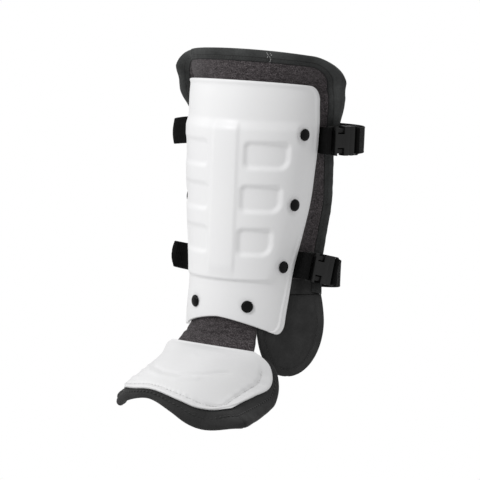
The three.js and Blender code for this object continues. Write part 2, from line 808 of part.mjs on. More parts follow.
function roundedRectangle(x0, x1, half, corner) {
  const shape = new THREE.Shape();
  shape.moveTo(x0 + corner, -half);
  shape.lineTo(x1 - corner, -half);
  shape.quadraticCurveTo(x1, -half, x1, corner - half);
  shape.lineTo(x1, half - corner);
  shape.quadraticCurveTo(x1, half, x1 - corner, half);
  shape.lineTo(x0 + corner, half);
  shape.quadraticCurveTo(x0, half, x0, half - corner);
  shape.lineTo(x0, corner - half);
  shape.quadraticCurveTo(x0, -half, x0 + corner, -half);
  return shape;
}

function block(shape, thickness) {
  const settings = { depth: thickness, bevelEnabled: false, curveSegments: 2 };
  const geometry = new THREE.ExtrudeGeometry(shape, settings);
  geometry.translate(0, 0, -thickness / 2);
  return toSolid(geometry);
}

function box(x0, x1, y0, y1, z0, z1) {
  const geometry = new THREE.BoxGeometry(x1 - x0, y1 - y0, z1 - z0);
  geometry.translate((x0 + x1) / 2, (y0 + y1) / 2, (z0 + z1) / 2);
  return toSolid(geometry);
}

const femaleBar = -slotWidth - barWidth / 2;
const maleBar = buckleLength + slotWidth + barWidth / 2;
const slotHalf = webbingWidth / 2 + clearance;

function femaleGeometry() {
  const deep = buckleThickness;
  const end = femaleBar - barWidth / 2;
  const frame = block(roundedRectangle(end, windowStart, buckleHalf, 2), frameThickness);
  const body = block(roundedRectangle(0, femaleEnd, buckleHalf, 1.5), buckleThickness);
  let solid = frame.add(body);
  solid = solid.subtract(box(-slotWidth, 0, -slotHalf, slotHalf, -deep, deep));
  const roof = buckleThickness / 2 - buckleWall;
  const cavityHalf = buckleHalf - buckleWall;
  solid = solid.subtract(box(windowStart, femaleEnd + 1, -cavityHalf, cavityHalf, -roof, roof));
  for (const side of [-1, 1]) {
    const ends = [side * (buckleHalf - windowDepth), side * (buckleHalf + 1)];
    const [low, high] = ends.sort((one, two) => one - two);
    solid = solid.subtract(box(windowStart, windowEnd, low, high, -deep, deep));
  }
  return toGeometry(solid);
}

function maleGeometry() {
  const deep = buckleThickness;
  const start = femaleEnd + clearance;
  const roof = buckleThickness / 2 - buckleWall - clearance;
  const cavityHalf = buckleHalf - buckleWall - clearance;
  const body = block(roundedRectangle(start, buckleLength, buckleHalf, 1.5), buckleThickness - 1);
  const end = maleBar + barWidth / 2;
  const frame = block(roundedRectangle(buckleLength - 2, end, buckleHalf, 2), frameThickness);
  let solid = body.add(frame);
  solid = solid.subtract(box(buckleLength, buckleLength + slotWidth, -slotHalf, slotHalf, -deep, deep));
  solid = solid.add(box(windowStart + 3, start + 1, -prongWidth / 2, prongWidth / 2, -roof, roof));
  for (const side of [-1, 1]) {
    const ends = [side * cavityHalf, side * (cavityHalf - prongWidth)];
    const [low, high] = ends.sort((one, two) => one - two);
    solid = solid.add(box(windowStart + 1, start + 1, low, high, -roof, roof));
  }
  return toGeometry(solid);
}

// Webbing that comes along a line, goes round a bar and stops: points of its middle line
function barLoop(bar, radius, from, to, steps) {
  const points = [];
  for (let i = 0; i <= steps; i += 1) {
    const turn = (from + (to - from) * i / steps) * rad;
    points.push(new THREE.Vector2(bar + radius * Math.cos(turn), radius * Math.sin(turn)));
  }
  return points;
}

// Closed webbing along middle points, each with the outward and upward directions there
function webbingGeometry(stops) {
  const halfWidth = webbingWidth / 2;
  const halfThick = webbingThickness / 2;
  const corners = [[1, -1], [1, 1], [-1, 1], [-1, -1]];
  const corner = (stop, out, up) => stop.at.clone()
    .addScaledVector(stop.out, out * halfThick)
    .addScaledVector(stop.up, up * halfWidth);
  const rings = stops.map((stop) => corners.map(([out, up]) => corner(stop, out, up)));
  const section = corners.map(([out, up]) => new THREE.Vector2(out, up));
  return closeEnds(sweep(rings), section);
}

const loopRadius = frameThickness / 2 + clearance + webbingThickness / 2 + webbingSlack;

for (const strap of straps) {
  const height = heightAt(strap.height);
  const form = leg(height);
  const pivot = legPoint(form.edge, height, 0);
  const slope = Math.tan(strap.tilt * rad);

  // Place on the pad past the shell's edge, on a line that slopes down towards the back
  const besideShell = (side, past, up, depth) => {
    const level = height + up;
    const flat = legPoint(side * (leg(level).edge + past), level, depth);
    const z = level - (flat.y - pivot.y) * slope;
    return legPoint(side * (leg(z).edge + past), z, depth);
  };

  // Frame of the buckle, over the edge of the pad
  const heading = form.edge / form.radius - form.flare + strap.turn * rad;
  const along = new THREE.Vector3(Math.cos(heading), Math.sin(heading), 0);
  along.z = -along.y * slope;
  along.normalize();
  const lean = new THREE.Vector3(0, 0, 1).addScaledVector(along, -along.z).normalize();
  const out = along.clone().cross(lean).normalize();
  const home = besideShell(1, form.wing - strap.overlap, 0, -strap.lift);
  const place = new THREE.Matrix4().makeBasis(along, lean, out).setPosition(home);
  for (const [name, geometry] of [['female', femaleGeometry()], ['male', maleGeometry()]]) {
    const mesh = addPiece(`${strap.name}_buckle_${name}`, geometry, blackPlastic);
    mesh.applyMatrix4(place);
  }
  const inFrame = (point) => new THREE.Vector3(point.x, 0, point.y).applyMatrix4(place);
  const loopStop = (point, bar) => {
    const radial = new THREE.Vector2(point.x - bar, point.y).normalize();
    const outward = along.clone().multiplyScalar(radial.x).addScaledVector(out, radial.y);
    return { at: inFrame(point), out: outward, up: lean };
  };

  // Anchor webbing from the shell's edge over the pad to the bar
  const padDepth = padOuterDepth - bindingCover - clearance - webbingThickness / 2 - webbingSlack;
  const padStop = (side, past, rise = 0) => {
    const depth = padDepth - rise;
    const at = besideShell(side, past, 0, depth);
    const outward = besideShell(side, past, 0, depth - 1).sub(at).normalize();
    const up = besideShell(side, past, webbingWidth / 2, depth)
      .sub(besideShell(side, past, -webbingWidth / 2, depth)).normalize();
    return { at, out: outward, up };
  };
  const anchorEnd = form.wing - strap.overlap - slotWidth - anchorLead;
  const anchorStops = [0, 0.35, 0.7, 1].map((share) => (
    padStop(1, sewnStart + share * (anchorEnd - sewnStart))
  ));
  for (const point of barLoop(femaleBar, loopRadius, 180 - loopLead, -100 + loopLead, 10)) {
    anchorStops.push(loopStop(point, femaleBar));
  }
  addPiece(`${strap.name}_strap_anchor`, webbingGeometry(anchorStops), webbing);

  // Calf webbing from the other bar round the back to the far side of the shell
  const calfStops = barLoop(maleBar, loopRadius, 260, 80, 7)
    .map((point) => loopStop(point, maleBar));
  const leave = calfStops[calfStops.length - 1];
  const route = [leave.at.clone()];
  const addTurn = (turn, halfWidth, start) => {
    const y = start + (strap.depth - start) * Math.sin(turn * rad);
    const x = halfWidth * Math.cos(turn * rad);
    const sag = strap.sag * (1 - x / leave.at.x) / 2;
    route.push(new THREE.Vector3(x, y, home.z - (y - home.y) * slope - sag));
  };
  for (const turn of nearTurns) addTurn(turn, leave.at.x, leave.at.y);
  for (const turn of farTurns) addTurn(turn, -strap.halfWidth, farShare * strap.depth);
  const sewnEnd = padStop(-1, sewnStart);
  route.push(padStop(-1, form.wing + 3, farRise).at);
  route.push(padStop(-1, form.wing - bindingWidth, farRise * 2 / 3).at);
  route.push(padStop(-1, strapSwell, farRise / 8).at, sewnEnd.at);
  const curve = new THREE.CatmullRomCurve3(route, false, 'centripetal');
  const samples = 34;
  for (let i = 1; i <= samples; i += 1) {
    const at = curve.getPointAt(i / samples);
    const tangent = curve.getTangentAt(i / samples);
    const up = new THREE.Vector3(0, 0, 1).addScaledVector(tangent, -tangent.z).normalize();
    calfStops.push({ at, out: tangent.clone().cross(up).normalize(), up });
  }
  calfStops[calfStops.length - 1] = sewnEnd;
  addPiece(`${strap.name}_calf_strap`, webbingGeometry(calfStops), webbing);
}

export default guard;
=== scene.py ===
"""Looks of a batters leg guard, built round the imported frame.

The forms of the shin and of the foot flap are the same ones that the solids use, worked out
here on fine grids with the moulding, padding, bindings, webbing and stitches that show.
"""

import math
from contextlib import contextmanager

import bmesh
import bpy
import numpy as np
from mathutils import Matrix, Vector


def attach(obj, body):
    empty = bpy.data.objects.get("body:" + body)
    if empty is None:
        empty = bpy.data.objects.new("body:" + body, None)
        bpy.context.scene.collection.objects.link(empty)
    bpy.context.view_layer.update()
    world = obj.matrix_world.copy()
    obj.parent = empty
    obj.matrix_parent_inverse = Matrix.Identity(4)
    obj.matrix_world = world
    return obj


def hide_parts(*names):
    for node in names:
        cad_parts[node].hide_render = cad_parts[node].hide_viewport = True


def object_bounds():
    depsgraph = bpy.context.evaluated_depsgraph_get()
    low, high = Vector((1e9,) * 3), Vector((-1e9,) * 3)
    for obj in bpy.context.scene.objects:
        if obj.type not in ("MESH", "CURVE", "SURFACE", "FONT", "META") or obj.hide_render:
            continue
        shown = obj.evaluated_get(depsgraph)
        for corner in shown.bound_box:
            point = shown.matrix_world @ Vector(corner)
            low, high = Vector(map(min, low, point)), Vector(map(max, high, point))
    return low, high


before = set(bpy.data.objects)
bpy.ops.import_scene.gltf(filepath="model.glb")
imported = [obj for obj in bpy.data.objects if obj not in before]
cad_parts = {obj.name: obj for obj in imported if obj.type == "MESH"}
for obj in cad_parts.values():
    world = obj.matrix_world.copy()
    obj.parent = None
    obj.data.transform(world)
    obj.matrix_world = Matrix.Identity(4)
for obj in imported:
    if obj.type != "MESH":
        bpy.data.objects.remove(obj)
cad_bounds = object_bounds()
MM = 0.001

# Sizes in millimetres, as in the solids
CLEARANCE = 0.3
PAD_GAP = 0.9
SHIN_LENGTH = 254
RIVET_RISE = 126
LEG_RADIUS = 75
SHELL_HALF_ARC = 116
SHELL_WALL = 3
OUTER_ROUND = 1.3
INNER_ROUND = 0.9
SHELL_TOP_CORNER = 17
SHELL_ANKLE_CORNER = 13
SHELL_ANKLE_ARCH = 17.5
SHELL_ARCH_RISE = 0.43
SHELL_ARCH_FALL = 1.25
SHELL_TOP_DROP = 6
PANEL_HEIGHT = 2.6
SPINE_HEIGHT = 1.5
DIMPLE_LENGTH = 26
DIMPLE_PITCH = 45
PAD_THICKNESS = 9
PAD_RISE = 32
PAD_REACH = 36
PAD_FLARE = 100
PAD_BEND = 18
PAD_OPENING = 9
PAD_OPENING_START = 0.97
PAD_OPENING_END = 1.06
PAD_TOP_CORNER = 26
PAD_TOP_DROP = 8
PAD_ANKLE_CORNER = 18
PAD_SKEW = 3
PAD_ANKLE_HEIGHT = -96
BINDING_WIDTH = 12.5
BINDING_COVER = 1.9
BINDING_SKIN = 1
HEM_AND_SHADE_WIDTH = 16
WING_DROP = 86
WING_STRAIGHT = 24
WING_THICKNESS = 7
WING_HALF_WIDTH = 39
BRIDGE_THICKNESS = 5
BRIDGE_TUCK = 1.35
BRIDGE_FAR_REACH = 10
FOOT_REACH = 102
FOOT_HALF_WIDTH = 63.5
FOOT_DROP = 50
FOOT_TWIST = 4.5
FOOT_ROUNDNESS = 2.7
FOOT_BRIDGE_TWIST = 0.35
FOOT_CORNER_LOSS = 0.11
FOOT_SHIFT = 2.5
FOOT_SETBACK = 2
FOOT_LEFT_WIDENING = 3
FOOT_WAVE = 6.5
FOOT_PLATE_THICKNESS = 3
FOOT_PAD_THICKNESS = 8
FOOT_PAD_MARGIN = 17
FOOT_SEAM = 0.57
WEBBING_WIDTH = 28
WEBBING_THICKNESS = 1.6

FRONT_OFFSET = PAD_THICKNESS + PAD_GAP + SHELL_WALL
PAD_OUTER_DEPTH = SHELL_WALL + PAD_GAP
PAD_INNER_DEPTH = PAD_OUTER_DEPTH + PAD_THICKNESS


def table(columns, *rows):
    """Rows of numbers under named columns."""
    return np.array(list(rows), dtype=[(name, float) for name in columns.split()])


# Shares of the sizes above, at heights up the shin
LEG = table(
    "height radius edge wing flare lean",
    (-0.26, 0.80, 0.62, 1.14, 0.28, 0),
    (0.00, 0.80, 0.65, 1.16, 0.28, 0),
    (0.09, 0.79, 0.68, 1.16, 0.28, 0),
    (0.24, 0.775, 0.79, 1.12, 0.30, 0),
    (0.35, 0.815, 0.88, 1.05, 0.34, 0),
    (0.50, 0.88, 0.97, 0.96, 0.36, 0),
    (0.63, 0.92, 0.99, 0.82, 0.36, 0),
    (0.75, 0.955, 1.00, 0.68, 0.42, 0),
    (0.84, 0.975, 0.98, 0.64, 0.68, 0.10),
    (0.92, 0.99, 0.95, 0.66, 0.94, 0.25),
    (1.00, 1.01, 0.93, 0.64, 1.00, 0.50),
    (1.15, 1.22, 0.84, 0.60, 0.60, 0.70),
)

# The same down the foot flap, from the bridge to the toe
FOOT = table(
    "share reach drop width side_reach side_drop margin",
    (0.00, 0.15, 0.00, 0.74, 0.00, 0.05, 0.05),
    (0.08, 0.22, 0.01, 0.86, -0.05, 0.14, 0.15),
    (0.16, 0.31, 0.03, 0.97, -0.11, 0.33, 0.40),
    (0.25, 0.41, 0.07, 1.03, -0.10, 0.58, 0.75),
    (0.35, 0.52, 0.12, 1.05, 0.00, 0.73, 1.00),
    (0.55, 0.74, 0.24, 1.03, 0.26, 0.78, 1.26),
    (0.75, 0.94, 0.39, 1.00, 0.54, 0.83, 1.40),
    (0.90, 1.08, 0.52, 0.97, 0.76, 0.88, 1.45),
    (1.00, 1.15, 0.60, 0.88, 0.89, 0.89, 1.50),
)

# Fall of the toe edge and share of the pad's margin, across the flap
TOE = table(
    "across fall margin",
    (-1.00, -0.15, 0.70),
    (-0.60, 0.38, 0.32),
    (-0.10, 0.14, 0.28),
    (0.40, 0.80, 0.50),
    (0.80, 1.02, 0.80),
    (1.00, -0.20, 0.95),
)


def hermite(first, last, first_slope, last_slope, t):
    """Smooth way between two values with a slope at each, as t runs from 0 to 1."""
    rise = 3 * t**2 - 2 * t**3
    bent = first_slope * (t**3 - 2 * t**2 + t) + last_slope * (t**3 - t**2)
    return first * (1 - rise) + last * rise + bent


def sample(stations, column, place):
    """Smooth value of a column of a station table at places along its first column."""
    keys, values = stations[stations.dtype.names[0]], stations[column]
    slopes = np.empty_like(values)
    slopes[1:-1] = (values[2:] - values[:-2]) / (keys[2:] - keys[:-2])
    slopes[[0, -1]] = np.diff(values)[[0, -1]] / np.diff(keys)[[0, -1]]
    place = np.asarray(place, float)
    i = np.clip(np.searchsorted(keys, place) - 1, 0, len(keys) - 2)
    span = keys[i + 1] - keys[i]
    t = np.clip((place - keys[i]) / span, 0, 1)
    return hermite(values[i], values[i + 1], slopes[i] * span, slopes[i + 1] * span, t)


def pairs(first, second):
    return np.stack(np.broadcast_arrays(first, second), -1)


def unit(vectors):
    return vectors / np.maximum(np.linalg.norm(vectors, axis=-1, keepdims=True), 1e-9)


def run_length(points):
    """Distance gone along a row of points, at each of them."""
    return np.r_[0, np.cumsum(np.linalg.norm(np.diff(points, axis=0), axis=1))]


def angles(first, last, count):
    """Even angles in radians between two in degrees."""
    return np.radians(np.linspace(first, last, count))


def ramp(value, start, end):
    return np.clip((value - start) / (end - start), 0, 1)


def smooth(value, start, end):
    t = ramp(value, start, end)
    return t * t * (3 - 2 * t)


def ridge(value, place, width):
    """1 at a place, falling softly to 0 over a width on both sides of it."""
    return np.exp(-(((value - place) / width) ** 2))


def round_over(inset, radius):
    """How far a rounded edge or corner falls back at a distance from the edge."""
    near = np.clip(radius - inset, 0, radius)
    return radius - np.sqrt(radius**2 - near**2)


def height_at(share):
    return share * SHIN_LENGTH - RIVET_RISE


def leg(z, column, size):
    return sample(LEG, column, (np.asarray(z) + RIVET_RISE) / SHIN_LENGTH) * size


def shell_edge(z):
    return leg(z, "edge", SHELL_HALF_ARC)


def leg_point(arc, z, depth):
    """Point of the leg form: arc runs round the shell's face, depth goes inwards."""
    arc, z, depth = np.broadcast_arrays(*(np.asarray(v, float) for v in (arc, z, depth)))
    radius = leg(z, "radius", LEG_RADIUS)
    side = np.where(arc < 0, -1, 1)
    far = np.abs(arc)
    opening = PAD_OPENING * ramp(z, height_at(PAD_OPENING_START), height_at(PAD_OPENING_END))
    bend_start = shell_edge(z) - SHELL_WALL - opening
    bend = PAD_BEND + 2 * opening
    on_bend = np.clip(far - bend_start, 0, bend)
    on_flat = np.maximum(far - bend_start - bend, 0)
    turn = -leg(z, "flare", math.radians(PAD_FLARE)) / bend
    heading = np.minimum(far, bend_start) / radius
    after = heading + turn * on_bend
    x = radius * np.sin(heading) + (np.sin(after) - np.sin(heading)) / turn
    y = radius * (1 - np.cos(heading)) + (np.cos(heading) - np.cos(after)) / turn
    x += on_flat * np.cos(after) - depth * np.sin(after)
    y += on_flat * np.sin(after) + depth * np.cos(after)
    return np.stack([side * x, y - FRONT_OFFSET + leg(z, "lean", PAD_THICKNESS), z], -1)


class Value:
    """An output socket that can be used in sums and products."""

    def __init__(self, nodes, socket):
        self.nodes = nodes
        self.socket = socket

    def _join(self, operation, first, second):
        return self.nodes.add("ShaderNodeMath", {0: first, 1: second}, operation=operation)

    def __add__(self, other):
        return self._join("ADD", self, other)

    def __sub__(self, other):
        return self._join("SUBTRACT", self, other)

    def __rsub__(self, other):
        return self._join("SUBTRACT", other, self)

    def __mul__(self, other):
        return self._join("MULTIPLY", self, other)

    __radd__ = __add__
    __rmul__ = __mul__


class Nodes:
    """A node tree with one way to add a node to it."""

    def __init__(self, tree):
        self.tree = tree

    def add(self, kind, values=None, output=0, **settings):
        """Adds a node: its settings are set first, then the values or links of its sockets."""
        node = self.tree.nodes.new(kind)
        for key, value in settings.items():
            if key == "stops":
                self.set_stops(node.color_ramp, value)
            else:
                setattr(node, key, value)
        self.fill(node, values or {})
        return Value(self, node.outputs[output])

    def fill(self, node, values):
        for key, value in values.items():
            if isinstance(value, Value):
                self.tree.links.new(value.socket, node.inputs[key])
            else:
                node.inputs[key].default_value = value

    @staticmethod
    def set_stops(color_ramp, stops):
        while len(color_ramp.elements) < len(stops):
            color_ramp.elements.new(0.5)
        for element, (place, color) in zip(color_ramp.elements, stops):
            element.position = place
            element.color = color


class Finish(Nodes):
    """A material on one Principled shader."""

    def __init__(self, name, **fixed):
        self.material = bpy.data.materials.new(name)
        self.material.use_nodes = True
        super().__init__(self.material.node_tree)
        self.tree.nodes.clear()
        self.shader = self.tree.nodes.new("ShaderNodeBsdfPrincipled")
        output = self.tree.nodes.new("ShaderNodeOutputMaterial")
        self.tree.links.new(self.shader.outputs["BSDF"], output.inputs["Surface"])
        self.set(**fixed)

    def set(self, **values):
        """Fills the shader's sockets, named in lower case."""
        for key, value in values.items():
            socket = key.replace("_", " ").title().replace("Ior", "IOR")
            self.fill(self.shader, {socket: value})
        return self.material

    def weave(self):
        """The piece's own map, in metres along and across the cloth."""
        own = self.add("ShaderNodeUVMap", uv_map="weave")
        return [self.add("ShaderNodeSeparateXYZ", {0: own}, k) for k in range(2)]

    def noise(self, scale, detail, rough=0.5, stretch=None):
        where = self.add("ShaderNodeTexCoord", output="Object")
        if stretch:
            where = self.add("ShaderNodeMapping", {"Vector": where, "Scale": stretch})
        values = {"Vector": where, "Scale": scale, "Detail": detail, "Roughness": rough}
        return self.add("ShaderNodeTexNoise", values)

    def wave(self, along, pitch, shift=0.0):
        """A sine wave along a length in metres, from 0 to 1."""
        turn = along * (2 * math.pi / pitch) + shift
        return self.add("ShaderNodeMath", {0: turn}, operation="SINE") * 0.5 + 0.5

    def ramp(self, value, *stops):
        """Grey steps, each given as a place and a value."""
        stops = [(place, shade(grey)) for place, grey in stops]
        return self.add("ShaderNodeValToRGB", {0: value}, "Color", stops=stops)

    def mix(self, factor, first, second):
        return self.add("ShaderNodeMix", {0: factor, 6: first, 7: second}, 2, data_type="RGBA")

    def bump(self, height, distance, strength, below=None):
        values = {"Height": height, "Distance": distance, "Strength": strength}
        if below is not None:
            values["Normal"] = below
        return self.add("ShaderNodeBump", values)


def shade(value, tint=(1, 1, 1)):
    return (*(value * part for part in tint), 1)


def moulded_white(name, tone):
    finish = Finish(name, coat_weight=0.08, coat_roughness=0.3, specular_ior_level=0.4)
    mottle = finish.noise(9, 3)
    skin = finish.noise(620, 3, 0.6)
    rub = finish.noise(60, 4, 0.65, stretch=(1, 1, 0.35))
    skin_tone = finish.mix(mottle, shade(tone - 0.02, (1, 1, 1.015)), shade(tone + 0.02))
    color = finish.mix(finish.ramp(rub, (0.66, 0), (0.82, 0.35)), skin_tone, shade(tone - 0.03))
    normal = finish.bump(skin, 0.00006, 0.5)
    roughness = finish.ramp(rub, (0.3, 0.42), (0.7, 0.52))
    return finish.set(base_color=color, roughness=roughness, normal=normal)


def moulded_black(name, rough, gloss, low):
    finish = Finish(name, specular_ior_level=gloss)
    grain = finish.noise(2600, 2, 0.6)
    scuff = finish.noise(140, 4, 0.7)
    color = finish.mix(finish.ramp(scuff, (0.55, 0), (0.8, 0.5)), shade(low), shade(low + 0.008))
    roughness = finish.ramp(scuff, (0.3, rough), (0.75, rough + 0.14))
    return finish.set(base_color=color, roughness=roughness, normal=finish.bump(grain, 0.00008, 0.5))


def heather_knit():
    """Knit with small loops and flecks of paler yarn."""
    finish = Finish("heather_knit", sheen_weight=0.08, sheen_roughness=0.5, specular_ior_level=0.15)
    along, up = finish.weave()
    wales = finish.wave(along, 0.0013)
    lean = finish.wave(along, 0.0026, 0.8)
    courses = finish.wave(up + lean * 0.0005, 0.0011)
    loops = wales * 0.5 + courses * wales * 0.7
    fleck = finish.noise(1100, 3, 0.8, stretch=(0.7, 0.7, 1.5))
    cloud = finish.noise(300, 3, 0.6, stretch=(0.5, 0.5, 1.8))
    dark, pale = (0.014, 0.011, 0.012, 1), (0.24, 0.212, 0.222, 1)
    speckle = finish.ramp(fleck * 0.8 + cloud * 0.2, (0.44, 0), (0.70, 1))
    yarn = finish.mix(speckle, dark, pale)
    color = finish.mix(finish.ramp(loops, (0.0, 0.55), (0.5, 0)), yarn, shade(0.012))
    fuzz = finish.bump(fleck, 0.0004, 0.5)
    normal = finish.bump(loops, 0.0004, 0.8, fuzz)
    roughness = finish.ramp(cloud, (0.3, 0.82), (0.7, 0.95))
    return finish.set(base_color=color, roughness=roughness, normal=normal)


def plain_cloth(name, low, high, pitch, depth, tint=(1, 1, 1), folds_and_fold_shade=()):
    """Close woven cloth with a fine twill, soft patches of wear and painted shade that darkens given bands
    across its map, where its folds and grooves lie.
    """
    finish = Finish(name, sheen_weight=0.04, sheen_roughness=0.45, specular_ior_level=0.2)
    along, up = finish.weave()
    twill = finish.wave(along + up * 0.6, pitch)
    cross = finish.wave(up - along * 0.3, pitch * 0.8)
    yarns = twill * 0.6 + cross * 0.4
    patch = finish.noise(55, 5, 0.6)
    lint = finish.noise(700, 3, 0.7)
    shade_mask = finish.ramp(patch * 0.55 + lint * 0.45, (0.35, 0), (0.7, 1))
    color = finish.mix(shade_mask, shade(low, tint), shade(high, tint))
    color = finish.mix(yarns * 0.35, color, shade(low * 0.5, tint))
    if folds_and_fold_shade:
        # Painted shade: the colour is darkened in bands across the map, at the cloth's grooves and edges.
        color = finish.mix(finish.ramp(up * 50, *folds_and_fold_shade), color, shade(low * 0.2, tint))
    normal = finish.bump(yarns, depth, 0.7, finish.bump(patch, 0.0006, 0.4))
    roughness = finish.ramp(lint, (0.3, 0.74), (0.7, 0.9))
    return finish.set(base_color=color, roughness=roughness, normal=normal)


def strap_webbing():
    """Webbing with ribs across it and a herringbone of fine yarns."""
    finish = Finish("strap_webbing", specular_ior_level=0.06)
    along, across = finish.weave()
    ribs = finish.wave(along, 0.0021)
    fold = finish.add("ShaderNodeMath", {0: across, 1: 0.0028}, operation="PINGPONG")
    herringbone = finish.wave(along + fold * 1.2, 0.0016)
    height = ribs * 0.55 + herringbone * 0.45
    lint = finish.noise(500, 3, 0.7)
    color = finish.mix(lint * 0.6, shade(0.002), shade(0.009))
    color = finish.mix(herringbone * 0.4, color, shade(0.001))
    roughness = finish.ramp(herringbone, (0.2, 0.72), (0.8, 0.5))
    return finish.set(base_color=color, roughness=roughness, normal=finish.bump(height, 0.0005, 0.8))


def sewing_thread(name, value):
    finish = Finish(name, sheen_weight=0.2)
    ply = finish.noise(2400, 2, 0.6)
    color = finish.mix(ply, shade(value * 0.7), shade(value * 1.2))
    return finish.set(base_color=color, roughness=ply * 0.3 + 0.5, normal=finish.bump(ply, 0.0001, 0.6))


WHITE = moulded_white("moulded_white", 0.80)
# Painted shade: the foot flap's copy of the same white plastic is toned a little darker than the shin's,
# for how light falls on the flap.
FLAP_WHITE_TONED_FOR_LIGHT = moulded_white("flap_white_toned_for_light", 0.77)
BLACK = moulded_black("moulded_black", 0.34, 0.3, 0.007)
RIVET_BLACK = moulded_black("polished_black", 0.2, 0.12, 0.003)
KNIT = heather_knit()
# Painted shade along the band's sewn groove and its two edges, as steps of darkness across the band.
BAND_GROOVE_SHADE = ((0.0, 0.8), (0.04, 0.7), (0.075, 0.1), (0.23, 0.1), (0.265, 0.6), (0.3, 0), (0.5, 0))
EDGE = plain_cloth("edge_band_cloth", 0.026, 0.072, 0.0012, 0.00025, (0.96, 1, 0.99), BAND_GROOVE_SHADE)
ANKLE = plain_cloth("ankle_cloth", 0.020, 0.046, 0.0009, 0.00018)
WEBBING = strap_webbing()
DARK_THREAD = sewing_thread("dark_thread", 0.006)
PALE_THREAD = sewing_thread("pale_thread", 0.7)


# Mesh building


def link(name, data):
    """Puts a mesh, light or camera in the scene as an object."""
    obj = bpy.data.objects.new(name, data)
    bpy.context.collection.objects.link(obj)
    return obj


@contextmanager
def shaping(mesh):
    """Opens a mesh for shaping and writes it back."""
    shaped = bmesh.new()
    shaped.from_mesh(mesh)
    yield shaped
    shaped.to_mesh(mesh)
    shaped.free()


def finish_piece(obj, node):
    """Puts a piece on the body in the place of its solid."""
    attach(obj, "root")
    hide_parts(node)


def new_piece(name, points, faces, material, weave, recalculate=False):
    """Mesh piece from points in millimetres, with a map in millimetres at each point."""
    mesh = bpy.data.meshes.new(name)
    mesh.from_pydata((np.reshape(points, (-1, 3)) * MM).tolist(), [], faces)
    if recalculate:
        with shaping(mesh) as shaped:
            bmesh.ops.recalc_face_normals(shaped, faces=shaped.faces)
    mesh.polygons.foreach_set("use_smooth", np.ones(len(mesh.polygons), bool))
    corners = np.empty(len(mesh.loops), int)
    mesh.loops.foreach_get("vertex_index", corners)
    layer = mesh.uv_layers.new(name="weave")
    layer.data.foreach_set("uv", (np.reshape(weave, (-1, 2))[corners] * MM).ravel())
    mesh.materials.append(material)
    mesh.update()
    return link(name, mesh)


def quads(a, b, c, d):
    return np.stack([a, b, c, d], -1).reshape(-1, 4)


def slab(name, outer, inner, material, weave):
    """Closed sheet between two grids of points: rows run up and columns towards +X."""
    rows, columns = outer.shape[:2]
    front = np.arange(rows * columns).reshape(rows, columns)
    back = front + rows * columns
    faces = [
        quads(front[:-1, :-1], front[:-1, 1:], front[1:, 1:], front[1:, :-1]),
        quads(back[:-1, :-1], back[1:, :-1], back[1:, 1:], back[:-1, 1:]),
        quads(front[0, 1:], front[0, :-1], back[0, :-1], back[0, 1:]),
        quads(front[-1, :-1], front[-1, 1:], back[-1, 1:], back[-1, :-1]),
        quads(front[:-1, 0], front[1:, 0], back[1:, 0], back[:-1, 0]),
        quads(front[1:, -1], front[:-1, -1], back[:-1, -1], back[1:, -1]),
    ]
    faces = np.concatenate(faces).tolist()
    return new_piece(name, [outer, inner], faces, material, [weave, weave])


def tube(name, rings, material, weave):
    """Closed sweep of rings of points, each of the same length, with flat ends."""
    count, size = rings.shape[:2]
    ids = np.arange(count * size).reshape(count, size)
    after = np.roll(ids, -1, axis=1)
    faces = quads(ids[:-1], ids[1:], after[1:], after[:-1]).tolist()
    faces += [ids[0].tolist(), ids[-1, ::-1].tolist()]
    return new_piece(name, rings, faces, material, weave, recalculate=True)


def edge_steps(length, edge, step):
    """Places along a length, close together near both ends."""
    near = edge * np.array([0, 0.08, 0.22, 0.42, 0.68, 1])
    middle = np.linspace(edge, length - edge, max(int(length / step), 2) + 1)[1:-1]
    return np.concatenate([near, middle, length - near[::-1]])


# Stitches and padding

STITCH_LENGTHS = (0.86, 1.1)
STITCH_SEED = 7
PUFF_PRESSURE = 4
PUFF_FRAMES = 20


def stitch_tree():
    """Node tree that lays a stitch on every point, along its heading and flat on the cloth."""
    tree = bpy.data.node_groups.new("stitches", "GeometryNodeTree")
    tree.interface.new_socket("Sewn", in_out="OUTPUT", socket_type="NodeSocketGeometry")
    asked = {"Points": "Geometry", "Length": "Float", "Width": "Float", "Thread": "Material"}
    for label, kind in asked.items():
        tree.interface.new_socket(label, in_out="INPUT", socket_type=f"NodeSocket{kind}")
    nodes = Nodes(tree)
    given = tree.nodes.new("NodeGroupInput")
    points, length, width, thread = (Value(nodes, given.outputs[k]) for k in range(4))
    heading, outward = (
        nodes.add("GeometryNodeInputNamedAttribute", {"Name": key}, data_type="FLOAT_VECTOR")
        for key in ("heading", "outward")
    )
    axes = {0: heading, 1: outward}
    turned = nodes.add("FunctionNodeAxesToRotation", axes, primary_axis="X", secondary_axis="Z")
    values = {2: STITCH_LENGTHS[0], 3: STITCH_LENGTHS[1], 8: STITCH_SEED}
    wander = nodes.add("FunctionNodeRandomValue", values, 1, data_type="FLOAT")
    size = nodes.add("ShaderNodeCombineXYZ", {0: length * wander, 1: width, 2: width * 0.8})
    bead = nodes.add("GeometryNodeMeshUVSphere", {"Segments": 6, "Rings": 6, "Radius": 0.5})
    values = {"Points": points, "Instance": bead, "Rotation": turned, "Scale": size}
    laid = nodes.add("GeometryNodeInstanceOnPoints", values)
    real = nodes.add("GeometryNodeRealizeInstances", {0: laid})
    soft = nodes.add("GeometryNodeSetShadeSmooth", {0: real})
    sewn = nodes.add("GeometryNodeSetMaterial", {"Geometry": soft, "Material": thread})
    nodes.fill(tree.nodes.new("NodeGroupOutput"), {0: sewn})
    return tree


STITCHES = stitch_tree()


